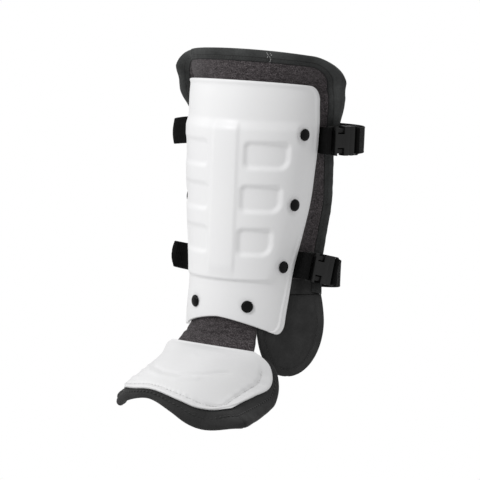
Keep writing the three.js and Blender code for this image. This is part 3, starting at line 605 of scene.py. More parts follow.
def sew(name, seams, pitch, size, thread):
    """Stitches along seams, each given as points in millimetres and their outward directions."""
    found = []
    for points, outward in seams:
        length = run_length(points)
        marks = np.arange(pitch / 2, length[-1], pitch)
        columns = np.concatenate([points, np.gradient(points, length, axis=0), outward], axis=1)
        found.append(np.stack([np.interp(marks, length, column) for column in columns.T], -1))
    places, heading, outward = np.split(np.concatenate(found), 3, axis=1)
    mesh = bpy.data.meshes.new(name)
    mesh.from_pydata((places * MM).tolist(), [], [])
    for key, value in (("heading", heading), ("outward", outward)):
        layer = mesh.attributes.new(key, "FLOAT_VECTOR", "POINT")
        layer.data.foreach_set("vector", unit(value).ravel())
    source = link(name, mesh)
    modifier = source.modifiers.new("stitches", "NODES")
    modifier.node_group = STITCHES
    inputs = {"Length": size[0] * MM, "Width": size[1] * MM, "Thread": thread}
    for item in STITCHES.interface.items_tree:
        if item.name in inputs:
            modifier[item.identifier] = inputs[item.name]
    drawn = bpy.context.evaluated_depsgraph_get()
    laid = bpy.data.meshes.new_from_object(source.evaluated_get(drawn))
    bpy.data.objects.remove(source)
    laid.name = name
    laid.materials.clear()
    laid.materials.append(thread)
    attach(link(name, laid), "root")


def seam_on(surface, *place, depth):
    """A seam at a depth under a surface: its points and their outward directions."""
    points = surface(*place, depth)
    return points, unit(surface(*place, depth - 1) - points)


def spread(field, rows, columns, shape):
    """A coarse grid of vectors carried over to all the rows and columns of a fine grid."""
    for axis, marks in ((0, rows), (1, columns)):
        places = np.arange(shape[axis])
        parts = np.array([np.interp(places, marks, mark) for mark in np.eye(len(marks))])
        field = np.moveaxis(np.tensordot(parts, field, (0, axis)), 0, axis)
    for axis in (0, 1) * 4:
        padded = np.concatenate([field.take([0], axis), field, field.take([-1], axis)], axis)
        before, after = (padded.take(range(k, k + shape[axis]), axis) for k in (0, 2))
        field = field / 2 + (before + after) / 4
    return field


def swell(outer, inner, held_outer, held_inner, cap, every=3):
    """Puffs the two grids of a padded sheet with a cloth simulation; held points stay still."""
    rows, columns = (np.unique(np.r_[np.arange(0, n, every), n - 1]) for n in outer.shape[:2])
    pick = np.ix_(rows, columns)
    start = np.stack([outer[pick], inner[pick]])
    held = np.stack([held_outer[pick], held_inner[pick]])
    held[:, [0, -1]] = 1
    held[:, :, [0, -1]] = 1
    sheet = slab("puff", *start, ANKLE, np.zeros((len(rows), len(columns), 2)))
    group = sheet.vertex_groups.new(name="held")
    for i, weight in enumerate(held.ravel()):
        group.add([i], float(weight), "REPLACE")
    cloth = sheet.modifiers.new("puff", "CLOTH").settings
    cloth.vertex_group_mass = "held"
    cloth.use_pressure = True
    cloth.uniform_pressure_force = PUFF_PRESSURE
    cloth.bending_stiffness = 0.2
    cloth.shrink_min = -0.02
    cloth.effector_weights.gravity = 0
    for step in range(1, PUFF_FRAMES + 1):
        bpy.context.scene.frame_set(step)
    moved = sheet.evaluated_get(bpy.context.evaluated_depsgraph_get()).to_mesh()
    places = np.empty(start.size)
    moved.vertices.foreach_get("co", places)
    away = places.reshape(start.shape) / MM - start
    far = np.maximum(np.linalg.norm(away, axis=-1, keepdims=True), 1e-6)
    away = away / far * cap * np.tanh(far / cap)
    bpy.data.objects.remove(sheet)
    bpy.context.scene.frame_set(1)
    puffed = []
    for grid, field, still in zip((outer, inner), away, (held_outer, held_inner)):
        puffed.append(grid + spread(field, rows, columns, grid.shape) * (1 - still)[..., None])
    return puffed


def inset_from(rim, grid):
    """Distance of each point of a grid from the nearest point of a rim."""
    return np.array([np.min(np.linalg.norm(row[:, None] - rim, axis=-1), axis=1) for row in grid])


# Shin shell

STEP_HEIGHT = height_at(0.19)
SHOULDER_HEIGHT = height_at(0.83)
MOULDING_SHIFT = 2.5
PANEL_SLOPE = (18, 39)
RIVET_SEAT = (8.5, 13)
DIMPLE_CORNER = 5
DIMPLE_ROUND_CORNER = 11
DIMPLE_HEIGHT = height_at(0.521)

# Depths of the dimples left and right of the spine, and how much longer the left ones are
DIMPLE_SHARES = (0.6, 1.3)
LEFT_DIMPLE_REACH = 14
DIMPLES = table(
    "height inner outer",
    (DIMPLE_HEIGHT - DIMPLE_PITCH, 17.4, 51.5),
    (DIMPLE_HEIGHT, 18.8, 60.0),
    (DIMPLE_HEIGHT + DIMPLE_PITCH, 21.3, 67.5),
)
SHELL_TOP = height_at(1)
SHELL_ANKLE = height_at(0)
RIVET_ROWS = table("height across", (0.785, 0.775), (0.496, 0.728), (0.239, 0.787), (0.079, 0.409))
RIVETS = [
    (side * row["across"] * float(shell_edge(height_at(row["height"]))), height_at(row["height"]))
    for side in (-1, 1)
    for row in RIVET_ROWS
]


def shell_half_width(z):
    top = round_over(SHELL_TOP - z, SHELL_TOP_CORNER)
    ankle = round_over(z - SHELL_ANKLE, SHELL_ANKLE_CORNER)
    return shell_edge(z) - top - ankle


def shell_shift(arc, z):
    """How far the shell's rows rise over the ankle arch and drop at the top corners."""
    along = np.abs(arc) / shell_edge(SHELL_ANKLE)
    arch = SHELL_ANKLE_ARCH * (SHELL_ARCH_RISE - SHELL_ARCH_FALL * along**1.5)
    drop = -SHELL_TOP_DROP * (arc / SHELL_HALF_ARC) ** 2
    return arch * ramp(z, STEP_HEIGHT, SHELL_ANKLE) + drop * ramp(z, SHOULDER_HEIGHT, SHELL_TOP)


def dimple_mask(arc, across, z):
    """1 in the floor of a dimple and 0 outside; its lower outer corner is the roundest."""
    mask = np.zeros_like(across)
    for dimple in DIMPLES:
        up = z - dimple["height"]
        outer = dimple["outer"] + LEFT_DIMPLE_REACH * (arc < 0)
        middle = (dimple["inner"] + outer) / 2
        out = np.abs(across - middle) - (outer - dimple["inner"]) / 2
        off = np.abs(up) - DIMPLE_LENGTH / 2
        corner = np.where((across > middle) & (up < 0), DIMPLE_ROUND_CORNER, DIMPLE_CORNER)
        out, off = out + corner, off + corner
        gap = np.hypot(np.maximum(out, 0), np.maximum(off, 0)) - corner
        mask = np.maximum(mask, smooth(gap + np.minimum(np.maximum(out, off), 0), 3.0, -2.8))
    return mask


def shell_relief(arc, z, side_inset, top_inset):
    """Height of the moulding: a panel with a spine and dimples, a rim and seats for the rivets."""
    across = np.abs(arc - MOULDING_SHIFT * smooth(np.abs(arc), 100, 60))
    shoulder = smooth(z, SHOULDER_HEIGHT + 4, SHOULDER_HEIGHT - 9)
    step = smooth(z, STEP_HEIGHT - 2.2, STEP_HEIGHT - 0.4)
    panel = shoulder * step * smooth(side_inset, *PANEL_SLOPE)
    spine = shoulder * smooth(across, 15.4, 12) * smooth(z, STEP_HEIGHT, STEP_HEIGHT + 16)
    rim = np.maximum(smooth(side_inset, 8.1, 6.9), 0.8 * smooth(top_inset, 4.4, 3.4))
    rim = rim + 0.3 * ridge(side_inset, 6.6, 0.9)
    dimples = dimple_mask(arc, across, z) * np.where(arc < 0, *DIMPLE_SHARES)
    relief = PANEL_HEIGHT * panel * (1 - dimples) + SPINE_HEIGHT * spine + rim
    for rivet_arc, height in RIVETS:
        away = np.hypot(arc - rivet_arc, z - height)
        relief = relief * smooth(away, *RIVET_SEAT) - 0.25 * smooth(away, 9.4, 7.4)
    return relief


def build_shell():
    up = edge_steps(SHELL_TOP - SHELL_ANKLE, 4, 1.7)
    across = edge_steps(2, 0.045, 0.0145) - 1
    z = np.broadcast_to((SHELL_ANKLE + up)[:, None], (len(up), len(across)))
    width = shell_half_width(z)
    arc = across * width
    side_inset = width - np.abs(arc)
    top_inset = SHELL_TOP - z
    inset = np.minimum(np.minimum(side_inset, top_inset), z - SHELL_ANKLE)
    relief = shell_relief(arc, z, side_inset, top_inset)
    shifted = z + shell_shift(arc, z)
    hollow = 0.75 * np.maximum(relief, 0) * smooth(inset, 1, 5)
    outer = leg_point(arc, shifted, round_over(inset, OUTER_ROUND) - relief)
    inner = leg_point(arc, shifted, SHELL_WALL - round_over(inset, INNER_ROUND) - hollow)
    shell = slab("shin_shell_moulded", outer, inner, WHITE, pairs(arc, shifted))
    finish_piece(shell, "shin_shell")


build_shell()


# Rivets


def lathe(name, profile, turns, material, matrix):
    """Turned shape from radius and height pairs, put in place by a matrix."""
    mesh = bpy.data.meshes.new(name)
    with shaping(mesh) as shaped:
        rows = []
        for radius, height in profile:
            count = turns if radius else 1
            angles = [2 * math.pi * k / turns for k in range(count)]
            spots = [Vector((radius * math.cos(a), radius * math.sin(a), height)) for a in angles]
            row = [shaped.verts.new(matrix @ (spot * MM)) for spot in spots]
            rows.append(row * (turns // count))
        for low, high in zip(rows, rows[1:]):
            for k in range(turns):
                after = (k + 1) % turns
                corners = [low[k], low[after], high[after], high[k]]
                shaped.faces.new(list(dict.fromkeys(corners))).smooth = True
        bmesh.ops.recalc_face_normals(shaped, faces=shaped.faces)
    mesh.materials.append(material)
    return link(name, mesh)


def outward_frame(arc, z, height):
    """Matrix in metres whose Z points out of the shell."""
    at = leg_point(arc, z, 0)
    out = Vector(leg_point(arc, z, -1) - at).normalized()
    place = Matrix.Translation((Vector(at) + out * height) * MM)
    return place @ out.to_track_quat("Z", "Y").to_matrix().to_4x4()


def build_rivets():
    cap = [(0, -8.2), (2.2, -8.2), (2.2, -0.1), (5.6, -0.1), (6.1, 0.05), (6.35, 0.45), (6.3, 0.9)]
    for turn in np.radians([18, 32, 46, 60, 75]):
        cap.append((6.3 * math.cos(turn) ** 0.75, 0.9 + 1.9 * math.sin(turn)))
    cap.append((0, 2.86))
    for i, (arc, z) in enumerate(RIVETS, 1):
        matrix = outward_frame(arc, z, CLEARANCE - 0.2)
        rivet = lathe(f"rivet_cap_{i}", cap, 40, RIVET_BLACK, matrix)
        finish_piece(rivet, f"rivet_{i}")


build_rivets()


# Shin pad and its binding

PAD_TOP = height_at(1) + PAD_RISE

# Each seam's distance from the band's edge, and its depth
BAND_SEAMS = ((10.9, 0.25), (8.2, 0.95))


def pad_half_width(z, side):
    ankle = np.where(side < 0, round_over(z - PAD_ANKLE_HEIGHT, PAD_ANKLE_CORNER), 0)
    skew = -side * PAD_SKEW * ramp(z, SHOULDER_HEIGHT, SHELL_TOP)
    width = shell_edge(z) + leg(z, "wing", PAD_REACH) + skew
    return width - round_over(PAD_TOP - z, PAD_TOP_CORNER) - ankle


def pad_point(arc, z, depth):
    shift = -PAD_TOP_DROP * (arc / SHELL_HALF_ARC) ** 2 * ramp(z, SHOULDER_HEIGHT, PAD_TOP)
    return leg_point(arc, z + shift, depth)


def pad_heights():
    """Heights up the pad, close together where its corners turn."""
    turns = angles(0, 90, 13)
    low = PAD_ANKLE_HEIGHT + PAD_ANKLE_CORNER * (1 - np.cos(turns))
    high = PAD_TOP - PAD_TOP_CORNER * (1 - np.sin(turns))
    middle = np.arange(low[-1] + 2.5, high[0] - 1.5, 2.5)
    return np.concatenate([low, middle, high])


def pad_edge(inset=0.0):
    """Outline of the pad as arc and height, moved inwards by an inset."""
    heights = pad_heights()
    left = pairs(-pad_half_width(heights, -1), heights)
    right = pairs(pad_half_width(heights, 1), heights)[::-1]
    share = np.linspace(0, 1, 92)[1:-1, None]
    top = left[-1] * (1 - share) + right[0] * share
    edge = np.concatenate([left, top, right])
    ahead = unit(np.gradient(edge, axis=0))
    return edge + inset * ahead[:, ::-1] * (1, -1)


def pad_grid(inset, columns):
    """Grid of arcs and heights inside the pad's outline."""
    edge = pad_edge(inset)
    rows = len(pad_heights())
    left, right = edge[:rows], edge[::-1][:rows]
    share = np.linspace(0, 1, columns)[None, :, None]
    share = share - 0.014 * np.sin(2 * np.pi * share)
    return left[:, None] * (1 - share) + right[:, None] * share


def build_shin_pad():
    grid = pad_grid(1.5, 150)
    arc, z = grid[..., 0], grid[..., 1]
    inset = inset_from(np.concatenate([grid[:, 0], grid[-1], grid[:, -1]]), grid)
    beside_shell = np.abs(arc) - shell_half_width(np.clip(z, SHELL_ANKLE, SHELL_TOP))
    past_shell = np.maximum(beside_shell, z - SHELL_TOP)
    free = smooth(past_shell, 0.5, 6) * smooth(inset, BINDING_WIDTH - 3, BINDING_WIDTH + 3)
    hollow = smooth(inset, BINDING_WIDTH - 3, BINDING_WIDTH + 5)
    pinch = 1.5 * smooth(inset, BINDING_WIDTH - 1, BINDING_WIDTH - 5)
    wander = 0.2 * np.sin(arc * 0.11 + z * 0.043) * np.sin(z * 0.09 - arc * 0.03)
    outer = pad_point(arc, z, PAD_OUTER_DEPTH - (0.4 + wander) * free + pinch)
    inner = pad_point(arc, z, PAD_INNER_DEPTH - pinch + (0.3 + wander) * hollow)
    outer, inner = swell(outer, inner, 1 - free, 1 - hollow, 1.6)
    pad = slab("shin_pad_foam", outer, inner, KNIT, grid)
    # The pad's lowest strip gets the darker ankle cloth: partly the real hem, partly painted shade under
    # the lower strap.
    hem_and_shade = grid[:-1, :-1, 1].ravel() < PAD_ANKLE_HEIGHT + HEM_AND_SHADE_WIDTH
    indices = np.zeros(len(pad.data.polygons), int)
    indices[: 2 * len(hem_and_shade)] = np.tile(hem_and_shade, 2)
    pad.data.materials.append(ANKLE)
    pad.data.polygons.foreach_set("material_index", indices)
    finish_piece(pad, "shin_pad")


def binding_section():
    """Inset and depth round the band: padded outside, sewn down along a groove."""
    inset = [12.5, 12.3, 11.8, 11.0, 10.2, 9.4, 8.4, 7.2, 6.0, 4.6, 3.2, 2.0, 1.0, 0.35, 0.0]
    rise = np.array([-0.2, 0.15, 0.3, 0.05, 0.3, 0.6, 0.75, 0.5, 0.85, 1.1, 1.0, 0.7, 0.2, -0.7, -2.0])
    outer = pairs(inset, PAD_OUTER_DEPTH - rise)
    inner = pairs(inset, PAD_INNER_DEPTH + rise)[::-1]
    lining = [
        (12.4, PAD_INNER_DEPTH - BINDING_SKIN),
        (BINDING_SKIN, PAD_INNER_DEPTH - 2 * BINDING_SKIN),
        (BINDING_SKIN, PAD_OUTER_DEPTH + 2 * BINDING_SKIN),
        (12.4, PAD_OUTER_DEPTH + BINDING_SKIN),
    ]
    return np.concatenate([outer, inner, lining]), len(lining)


def build_binding():
    section, lining = binding_section()
    lines = np.stack([pad_edge(inset) for inset in section[:, 0]], 1)
    length = run_length(pad_edge())[:, None]
    ripple = 0.3 * np.sin(length / 4.1) * np.sin(length / 9.7 + 1.0) + 0.16 * np.sin(length / 1.7)
    side = np.where(section[:, 1] < (PAD_OUTER_DEPTH + PAD_INNER_DEPTH) / 2, -1, 1)
    side[-lining:] = 0
    rings = pad_point(lines[..., 0], lines[..., 1], section[:, 1] + side * ripple)
    band = tube("pad_edge_band", rings, EDGE, pairs(length, run_length(section)))
    for i, (reach, sunk) in enumerate(BAND_SEAMS):
        line = seam_on(pad_point, *pad_edge(reach).T, depth=PAD_OUTER_DEPTH - sunk)
        sew(f"band_stitches_{i + 1}", [line], 3.4, (2.5, 0.7), DARK_THREAD)
    build_thread_ends()
    finish_piece(band, "pad_binding")


def build_thread_ends():
    """A few loose ends of pale thread on the band's upper edge, each as arcs and drops."""
    ends = (
        ((39, 41, 40), (0, -3, -6)),
        ((42, 44, 43), (-4, -7, -10)),
        ((43, 44.5, 44), (-1, -2.5, -4)),
    )
    top = PAD_TOP - PAD_TOP_DROP * (42 / SHELL_HALF_ARC) ** 2 - 1.5
    lines = []
    for end in ends:
        arc, drop = (np.interp(np.linspace(0, 2, 9), range(3), part) for part in end)
        lines.append(seam_on(leg_point, arc, top + drop, depth=PAD_OUTER_DEPTH - 1.2))
    sew("loose_thread_ends", lines, 1.1, (1.0, 0.35), PALE_THREAD)


build_shin_pad()
build_binding()


# Ankle wing

WING_TOP = PAD_ANKLE_HEIGHT - CLEARANCE
WING_ROUND = WING_DROP - WING_STRAIGHT
WING_SEAM = 8
WING_MIDDLE_ARC = float(pad_half_width(PAD_ANKLE_HEIGHT, 1)) - WING_HALF_WIDTH


def build_ankle_wing():
    turns = angles(88.5, 0, 34)
    curved = WING_TOP - WING_STRAIGHT - WING_ROUND * np.sin(turns)
    z = np.concatenate([curved, np.linspace(curved[-1], WING_TOP, 12)[1:]])
    half = np.concatenate([WING_HALF_WIDTH * np.cos(turns), np.full(11, WING_HALF_WIDTH)])
    across = np.sin(angles(-90, 90, 61))
    arc = WING_MIDDLE_ARC + across * half[:, None]
    grid = pairs(arc, z[:, None])
    z = grid[..., 1]
    inset = inset_from(np.concatenate([grid[:, 0], grid[0], grid[:, -1]]), grid)
    crown = 0.5 * smooth(inset, 9, 22)
    fall = round_over(inset, 3.2)
    outer = leg_point(arc, z, PAD_OUTER_DEPTH + fall - crown)
    inner = leg_point(arc, z, PAD_OUTER_DEPTH + WING_THICKNESS - 0.8 * fall + 0.4 * crown)
    held = 1 - 0.9 * smooth(inset, 1, 4) * (1 - ridge(inset, WING_SEAM, 2.4))
    held = np.where(inset > 3, held - 0.1 * smooth(inset, 9, 14), held)
    outer, inner = swell(outer, inner, held, held, 1.5, 2)
    outward = unit(leg_point(arc, z, 0) - leg_point(arc, z, 1))
    groove = outward * 0.8 * ridge(inset, WING_SEAM, 1.3)[..., None]
    wing = slab("ankle_wing_padded", outer - groove, inner + groove, ANKLE, grid)
    turns = angles(0, 180, 120)
    seam_arc = WING_MIDDLE_ARC - np.cos(turns) * (WING_HALF_WIDTH - WING_SEAM)
    seam_z = WING_TOP - WING_STRAIGHT - np.sin(turns) * (WING_ROUND - WING_SEAM)
    seam_arc = np.r_[seam_arc[0], seam_arc, seam_arc[-1]]
    seam_z = np.r_[WING_TOP - 1, seam_z, WING_TOP - 1]
    line = seam_on(leg_point, seam_arc, seam_z, depth=PAD_OUTER_DEPTH + 0.35)
    sew("ankle_wing_stitches", [line], 3.6, (2.7, 0.7), DARK_THREAD)
    finish_piece(wing, "ankle_wing")


build_ankle_wing()


# Foot flap

FOOT_TOP = height_at(-0.08)
FOOT_BACK = -FRONT_OFFSET - FOOT_SETBACK
FOOT_SIDE_SPAN = FOOT_HALF_WIDTH * 1.25
FOOT_TOE_SPAN = FOOT_REACH * 1.05
PLATE_CORNER = 14
PLATE_SEAM = 8
FOOT_PAD_DEPTH = FOOT_PLATE_THICKNESS + CLEARANCE
FOOT_PAD_START = 0.08

# Width and height of each crease, then its points as shares across and down the plate
PLATE_CREASES = [
    (2.0, -1.0, [-0.74, -0.64, -0.45, -0.15, 0.15, 0.42, 0.62], [0.30, 0.48, 0.62, 0.70, 0.68, 0.58, 0.42]),
    (2.4, 0.9, [-0.68, -0.45, -0.15, 0.15, 0.40], [0.56, 0.71, 0.78, 0.76, 0.66]),
    (1.8, 0.9, [-0.86, -0.72, -0.58], [0.62, 0.66, 0.74]),
    (1.6, 0.9, [-0.92, -0.75, -0.55], [0.80, 0.80, 0.83]),
    (2.2, 0.3, [0.05, 0.10], [0.30, 0.36]),
]


def foot_form(u, v):
    """Point of the flap: u runs across from -1 to 1 and v down from the bridge to the toe."""
    across = np.abs(u)
    down = v * (1 - FOOT_CORNER_LOSS * ramp(u, 0.6, 1) ** 2)

    def at(column, size):
        return sample(FOOT, column, down) * size

    middle_y, side_y = -at("reach", FOOT_REACH), -at("side_reach", FOOT_REACH)
    middle_z, side_z = -at("drop", FOOT_DROP), -at("side_drop", FOOT_DROP)
    x = u * at("width", FOOT_HALF_WIDTH) - FOOT_SHIFT * ramp(v, 0.45, 0)
    x += FOOT_LEFT_WIDENING * np.minimum(u, 0) * smooth(v, 0, 0.14) * smooth(v, 0.6, 0.35)
    y = FOOT_BACK + middle_y + (side_y - middle_y) * across**FOOT_ROUNDNESS
    z = FOOT_TOP + middle_z + (side_z - middle_z) * across**FOOT_ROUNDNESS
    z -= x * math.sin(math.radians(FOOT_TWIST)) * (FOOT_BRIDGE_TWIST + (1 - FOOT_BRIDGE_TWIST) * v)
    z -= sample(TOE, "fall", u) * FOOT_WAVE * v * v
    return np.stack([x, y, z], -1)


def foot_normal(u, v):
    """Direction out of the flap's face."""
    step = 0.01
    in_u = np.clip(u, step - 1, 1 - step)
    in_v = np.clip(v, step, 1 - step)
    along_u = foot_form(in_u + step, in_v) - foot_form(in_u - step, in_v)
    along_v = foot_form(in_u, in_v + step) - foot_form(in_u, in_v - step)
    return unit(np.cross(along_v, along_u))


def foot_point(u, v, depth):
    return foot_form(u, v) - foot_normal(u, v) * np.asarray(depth)[..., None]


def foot_inset(u, v):
    """Rough distance from the side and toe edges of the plate and their rounded corner."""
    side, toe = (1 - np.abs(u)) * FOOT_SIDE_SPAN, (1 - v) * FOOT_TOE_SPAN
    both = np.hypot(np.maximum(PLATE_CORNER - side, 0), np.maximum(PLATE_CORNER - toe, 0))
    near = (side < PLATE_CORNER) & (toe < PLATE_CORNER)
    return np.where(near, PLATE_CORNER - both, np.minimum(side, toe))


def crease(u, v, width, height, across, down):
    """Soft ridge along a line of points given as shares across and down."""
    size = np.array([FOOT_HALF_WIDTH, FOOT_REACH])
    places, spots = pairs(u, v) * size, pairs(across, down) * size
    relief = np.zeros_like(u)
    for start, end in zip(spots, spots[1:]):
        off, ahead = places - start, end - start
        t = np.clip(off @ ahead / (ahead @ ahead), 0, 1)
        away = np.linalg.norm(off - t[..., None] * ahead, axis=-1)
        relief = np.maximum(relief, ridge(away, 0, width))
    return relief * height


def plate_seam():
    """Places of the stitches along the plate's groove, round both toe corners."""
    span = np.array([FOOT_SIDE_SPAN, FOOT_TOE_SPAN])
    start = 1 - PLATE_SEAM / span
    turns = angles(0, 90, 9)
    corner = start - (PLATE_CORNER - PLATE_SEAM) / span * (1 - pairs(np.cos(turns), np.sin(turns)))
    side = pairs(start[0], np.linspace(0.2, corner[0, 1], 30))
    toe = pairs(np.linspace(corner[-1, 0], 0, 40), start[1])
    half = np.concatenate([side[:-1], corner, toe[1:]])
    return np.concatenate([half, half[-2::-1] * (-1, 1)]).T


def build_foot_plate():
    u = edge_steps(2, 0.04, 0.022) - 1
    v = edge_steps(1, 0.035, 0.018)[::-1]
    v, u = np.meshgrid(v, u, indexing="ij")
    inset = foot_inset(u, v)
    rim = np.minimum(inset, v * FOOT_TOE_SPAN)
    groove = 1.5 * ridge(inset, PLATE_SEAM, 1.5) + 0.8 * ridge(inset, 4.4, 0.9)
    pucker = 0.34 * np.sin(np.arctan2(v - 0.3, u) * 54) * ridge(inset, PLATE_SEAM, 3.4)
    lip = 0.9 * smooth(v * FOOT_REACH, 4.5, 3.2)
    relief = (pucker - groove) * smooth(v, 0.12, 0.3) + lip
    for width, height, across, down in PLATE_CREASES:
        relief += crease(u, v, width, height, across, down)
    outer = foot_point(u, v, round_over(rim, OUTER_ROUND) - relief)
    inner = foot_point(u, v, FOOT_PLATE_THICKNESS - round_over(rim, INNER_ROUND))
    weave = pairs(u * FOOT_HALF_WIDTH, -v * FOOT_REACH)
    plate = slab("foot_plate_moulded", outer, inner, FLAP_WHITE_TONED_FOR_LIGHT, weave)
    line = seam_on(foot_point, *plate_seam(), depth=1)
    sew("flap_stitches", [line], 3.6, (2.8, 0.9), PALE_THREAD)
    finish_piece(plate, "foot_plate")


def foot_pad_margin(u, v):
    return sample(FOOT, "margin", v) * sample(TOE, "margin", u) * FOOT_PAD_MARGIN


def foot_pad_point(u, v, beyond_side, beyond_toe, depth):
    """Point of the pad under the plate, carried past its side and toe edges."""
    normal = foot_normal(u, v)
    step = 0.02
    toe_line = foot_form(np.minimum(u + step, 1), v) - foot_form(np.maximum(u - step, -1), v)
    side_line = foot_form(u, np.minimum(v + step, 1)) - foot_form(u, np.maximum(v - step, 0))
    to_toe = -unit(np.cross(normal, toe_line)) * beyond_toe[..., None]
    to_side = unit(np.cross(normal, side_line)) * (np.sign(u) * beyond_side)[..., None]
    reach = foot_pad_margin(u, v) * np.maximum(beyond_side, beyond_toe)
    return foot_point(u, v, depth) + unit(to_toe + to_side) * reach[..., None]


def even_rows(grid, beyond):
    """Evens out the rows that lie beyond the toe."""
    for _ in range(7):
        even = grid.copy()
        even[:, 1:-1] = grid[:, 1:-1] / 2 + (grid[:, :-2] + grid[:, 2:]) / 4
        grid = grid + (even - grid) * beyond[..., None]
    return grid


def foot_pad_seam():
    """Places of the stitches round the pad, as foot_pad_point takes them."""
    down, across, turn = np.linspace(0.2, 1, 30), np.linspace(-1, 1, 80), np.linspace(0.1, 1, 8)
    path = [(-1, v, 1, 0) for v in down] + [(-1, 1, 1, t) for t in turn]
    path += [(u, 1, 0, 1) for u in across] + [(1, 1, t, 1) for t in turn]
    path += [(1, v, 1, 0) for v in down[::-1]]
    beyond = 1 - FOOT_SEAM
    return (np.array(path) * (1, 1, beyond, beyond)).T


def build_foot_pad():
    steps = np.array([1, 0.97, 0.9, 0.8, 0.68, 0.56, 0.44, 0.32, 0.2, 0.1])
    ends = np.ones_like(steps)
    across, down = np.linspace(-1, 1, 73), np.linspace(1, FOOT_PAD_START, 48)
    v, u = np.meshgrid(np.r_[ends, down], np.r_[-ends, across, ends], indexing="ij")
    past_toe, past_side = np.r_[steps, 0 * down], np.r_[steps, 0 * across, steps[::-1]]
    beyond_toe, beyond_side = np.meshgrid(past_toe, past_side, indexing="ij")
    reach = np.maximum(beyond_side, beyond_toe)
    margin = foot_pad_margin(u, v)
    inset = np.minimum((1 - reach) * margin, (v - FOOT_PAD_START) * FOOT_REACH + 1.5)
    fall = round_over(inset, 3.9)
    crown = 0.5 * np.sin(np.pi * reach) ** 1.5 * smooth(margin, 4, 14)
    depths = fall - crown, FOOT_PAD_THICKNESS - fall + 0.5 * crown
    outer, inner = (
        even_rows(foot_pad_point(u, v, beyond_side, beyond_toe, FOOT_PAD_DEPTH + depth), beyond_toe)
        for depth in depths
    )
    sewn = 0.8 * ridge(inset, margin * FOOT_SEAM, 2)
    held_outer = 1 - smooth(reach, 0.12, 0.3) * smooth(inset, 1, 4) * (1 - sewn)
    outer, inner = swell(outer, inner, held_outer, 1 - smooth(inset, 1, 6), 1.5, 2)
    groove = ridge(inset, margin * FOOT_SEAM, 1.8) * (reach > 0)
    outer = outer - foot_normal(u, v) * groove[..., None]
    line = seam_on(foot_pad_point, *foot_pad_seam(), depth=FOOT_PAD_DEPTH + 0.3)
    sew("foot_pad_stitches", [line], 4.6, (3.0, 1.9), DARK_THREAD)
    sideways = u * FOOT_HALF_WIDTH + np.sign(u) * beyond_side * margin
    weave = pairs(sideways, -v * FOOT_REACH - beyond_toe * margin)
    pad = slab("foot_pad_padded", outer, inner, ANKLE, weave)
    finish_piece(pad, "foot_pad")


def build_instep_bridge():
    """Sheet from under the plate's top edge, round a bend and up to the pad."""
    u = np.linspace(-1, 1, 61)
    near_arc = WING_MIDDLE_ARC - WING_HALF_WIDTH - CLEARANCE
    arc = np.where(u > 0, near_arc, near_arc + BRIDGE_FAR_REACH) * u
    bend_height = height_at(0) - SHELL_WALL
    turns = np.linspace(1, 0, 34)[:-1]
    heights = np.linspace(bend_height, WING_TOP, 18)

    def rows(depth):
        foot = foot_point(u, 0.025, FOOT_PLATE_THICKNESS + BRIDGE_TUCK + depth)
        leg_end = leg_point(arc, bend_height, PAD_OUTER_DEPTH + depth)
        bend = leg_end * 0.7 + foot * 0.3
        bend[:, 1] = leg_end[:, 1]
        grid = []
        for t in turns:
            first = leg_end * (1 - t) + bend * t
            last = bend * (1 - t) + foot * t
            grid.append(first * (1 - t) + last * t)
        grid += [leg_point(arc, z, PAD_OUTER_DEPTH + depth) for z in heights]
        return np.array(grid)

    step = np.linspace(0, 1, len(turns) + len(heights))[:, None]
    folds_and_fold_shade = 1.9 * ridge(step, 0.46 + 0.05 * np.sin(3 * u), 0.05) * (1 - u**2)
    folds_and_fold_shade += 1.4 * ridge(step, 0.22 - 0.04 * u, 0.06) * (1 - 0.6 * u**2)
    folds_and_fold_shade -= 1.2 * ridge(step, 0.32 + 0.03 * np.cos(4 * u), 0.04)
    fall = round_over(np.minimum(1 - np.abs(u), 0.2) * 50, 2)
    outer = rows(fall)
    outer = outer + (rows(fall - 1) - outer) * folds_and_fold_shade[..., None]
    inner = rows(BRIDGE_THICKNESS - fall)
    bridge = slab("instep_bridge_knit", outer, inner, KNIT, pairs(arc, step * 80))
    finish_piece(bridge, "instep_bridge")


build_foot_plate()
build_foot_pad()
build_instep_bridge()


# Straps and buckles

BUCKLE_LENGTH = 26
BUCKLE_ARM_WIDTH = 1.2
BAR_WIDTH = 3
SLOT_WIDTH = 5
FRAME_THICKNESS = 2.6
FEMALE_BAR = -SLOT_WIDTH - BAR_WIDTH / 2
MALE_BAR = BUCKLE_LENGTH + SLOT_WIDTH + BAR_WIDTH / 2
WINDOW_START = 3
WINDOW_END = 12
WINDOW_DEPTH = 5
WINDOW_EDGE = WEBBING_WIDTH / 2 + CLEARANCE + BUCKLE_ARM_WIDTH - WINDOW_DEPTH
WINDOW_DEEPER = 3.2
WEBBING_EASE = 0.6
LOOP_RADIUS = FRAME_THICKNESS / 2 + CLEARANCE + WEBBING_THICKNESS / 2 + WEBBING_EASE
SEWN_START = 1.5
ANCHOR_LEAD = 9.6
LOOP_LEAD = 15
STRAP_SWELL = 9
FAR_RISE = 10
STRAPS = table(
    "height depth half_width tilt sag overlap lift turn cup",
    (0.76, 172, 115, 0, 3.5, 9, 10.5, 15.5, 2.2),
    (0.245, 140, 101, 13, 0, 24, 13.4, 5.4, 4.0),
)


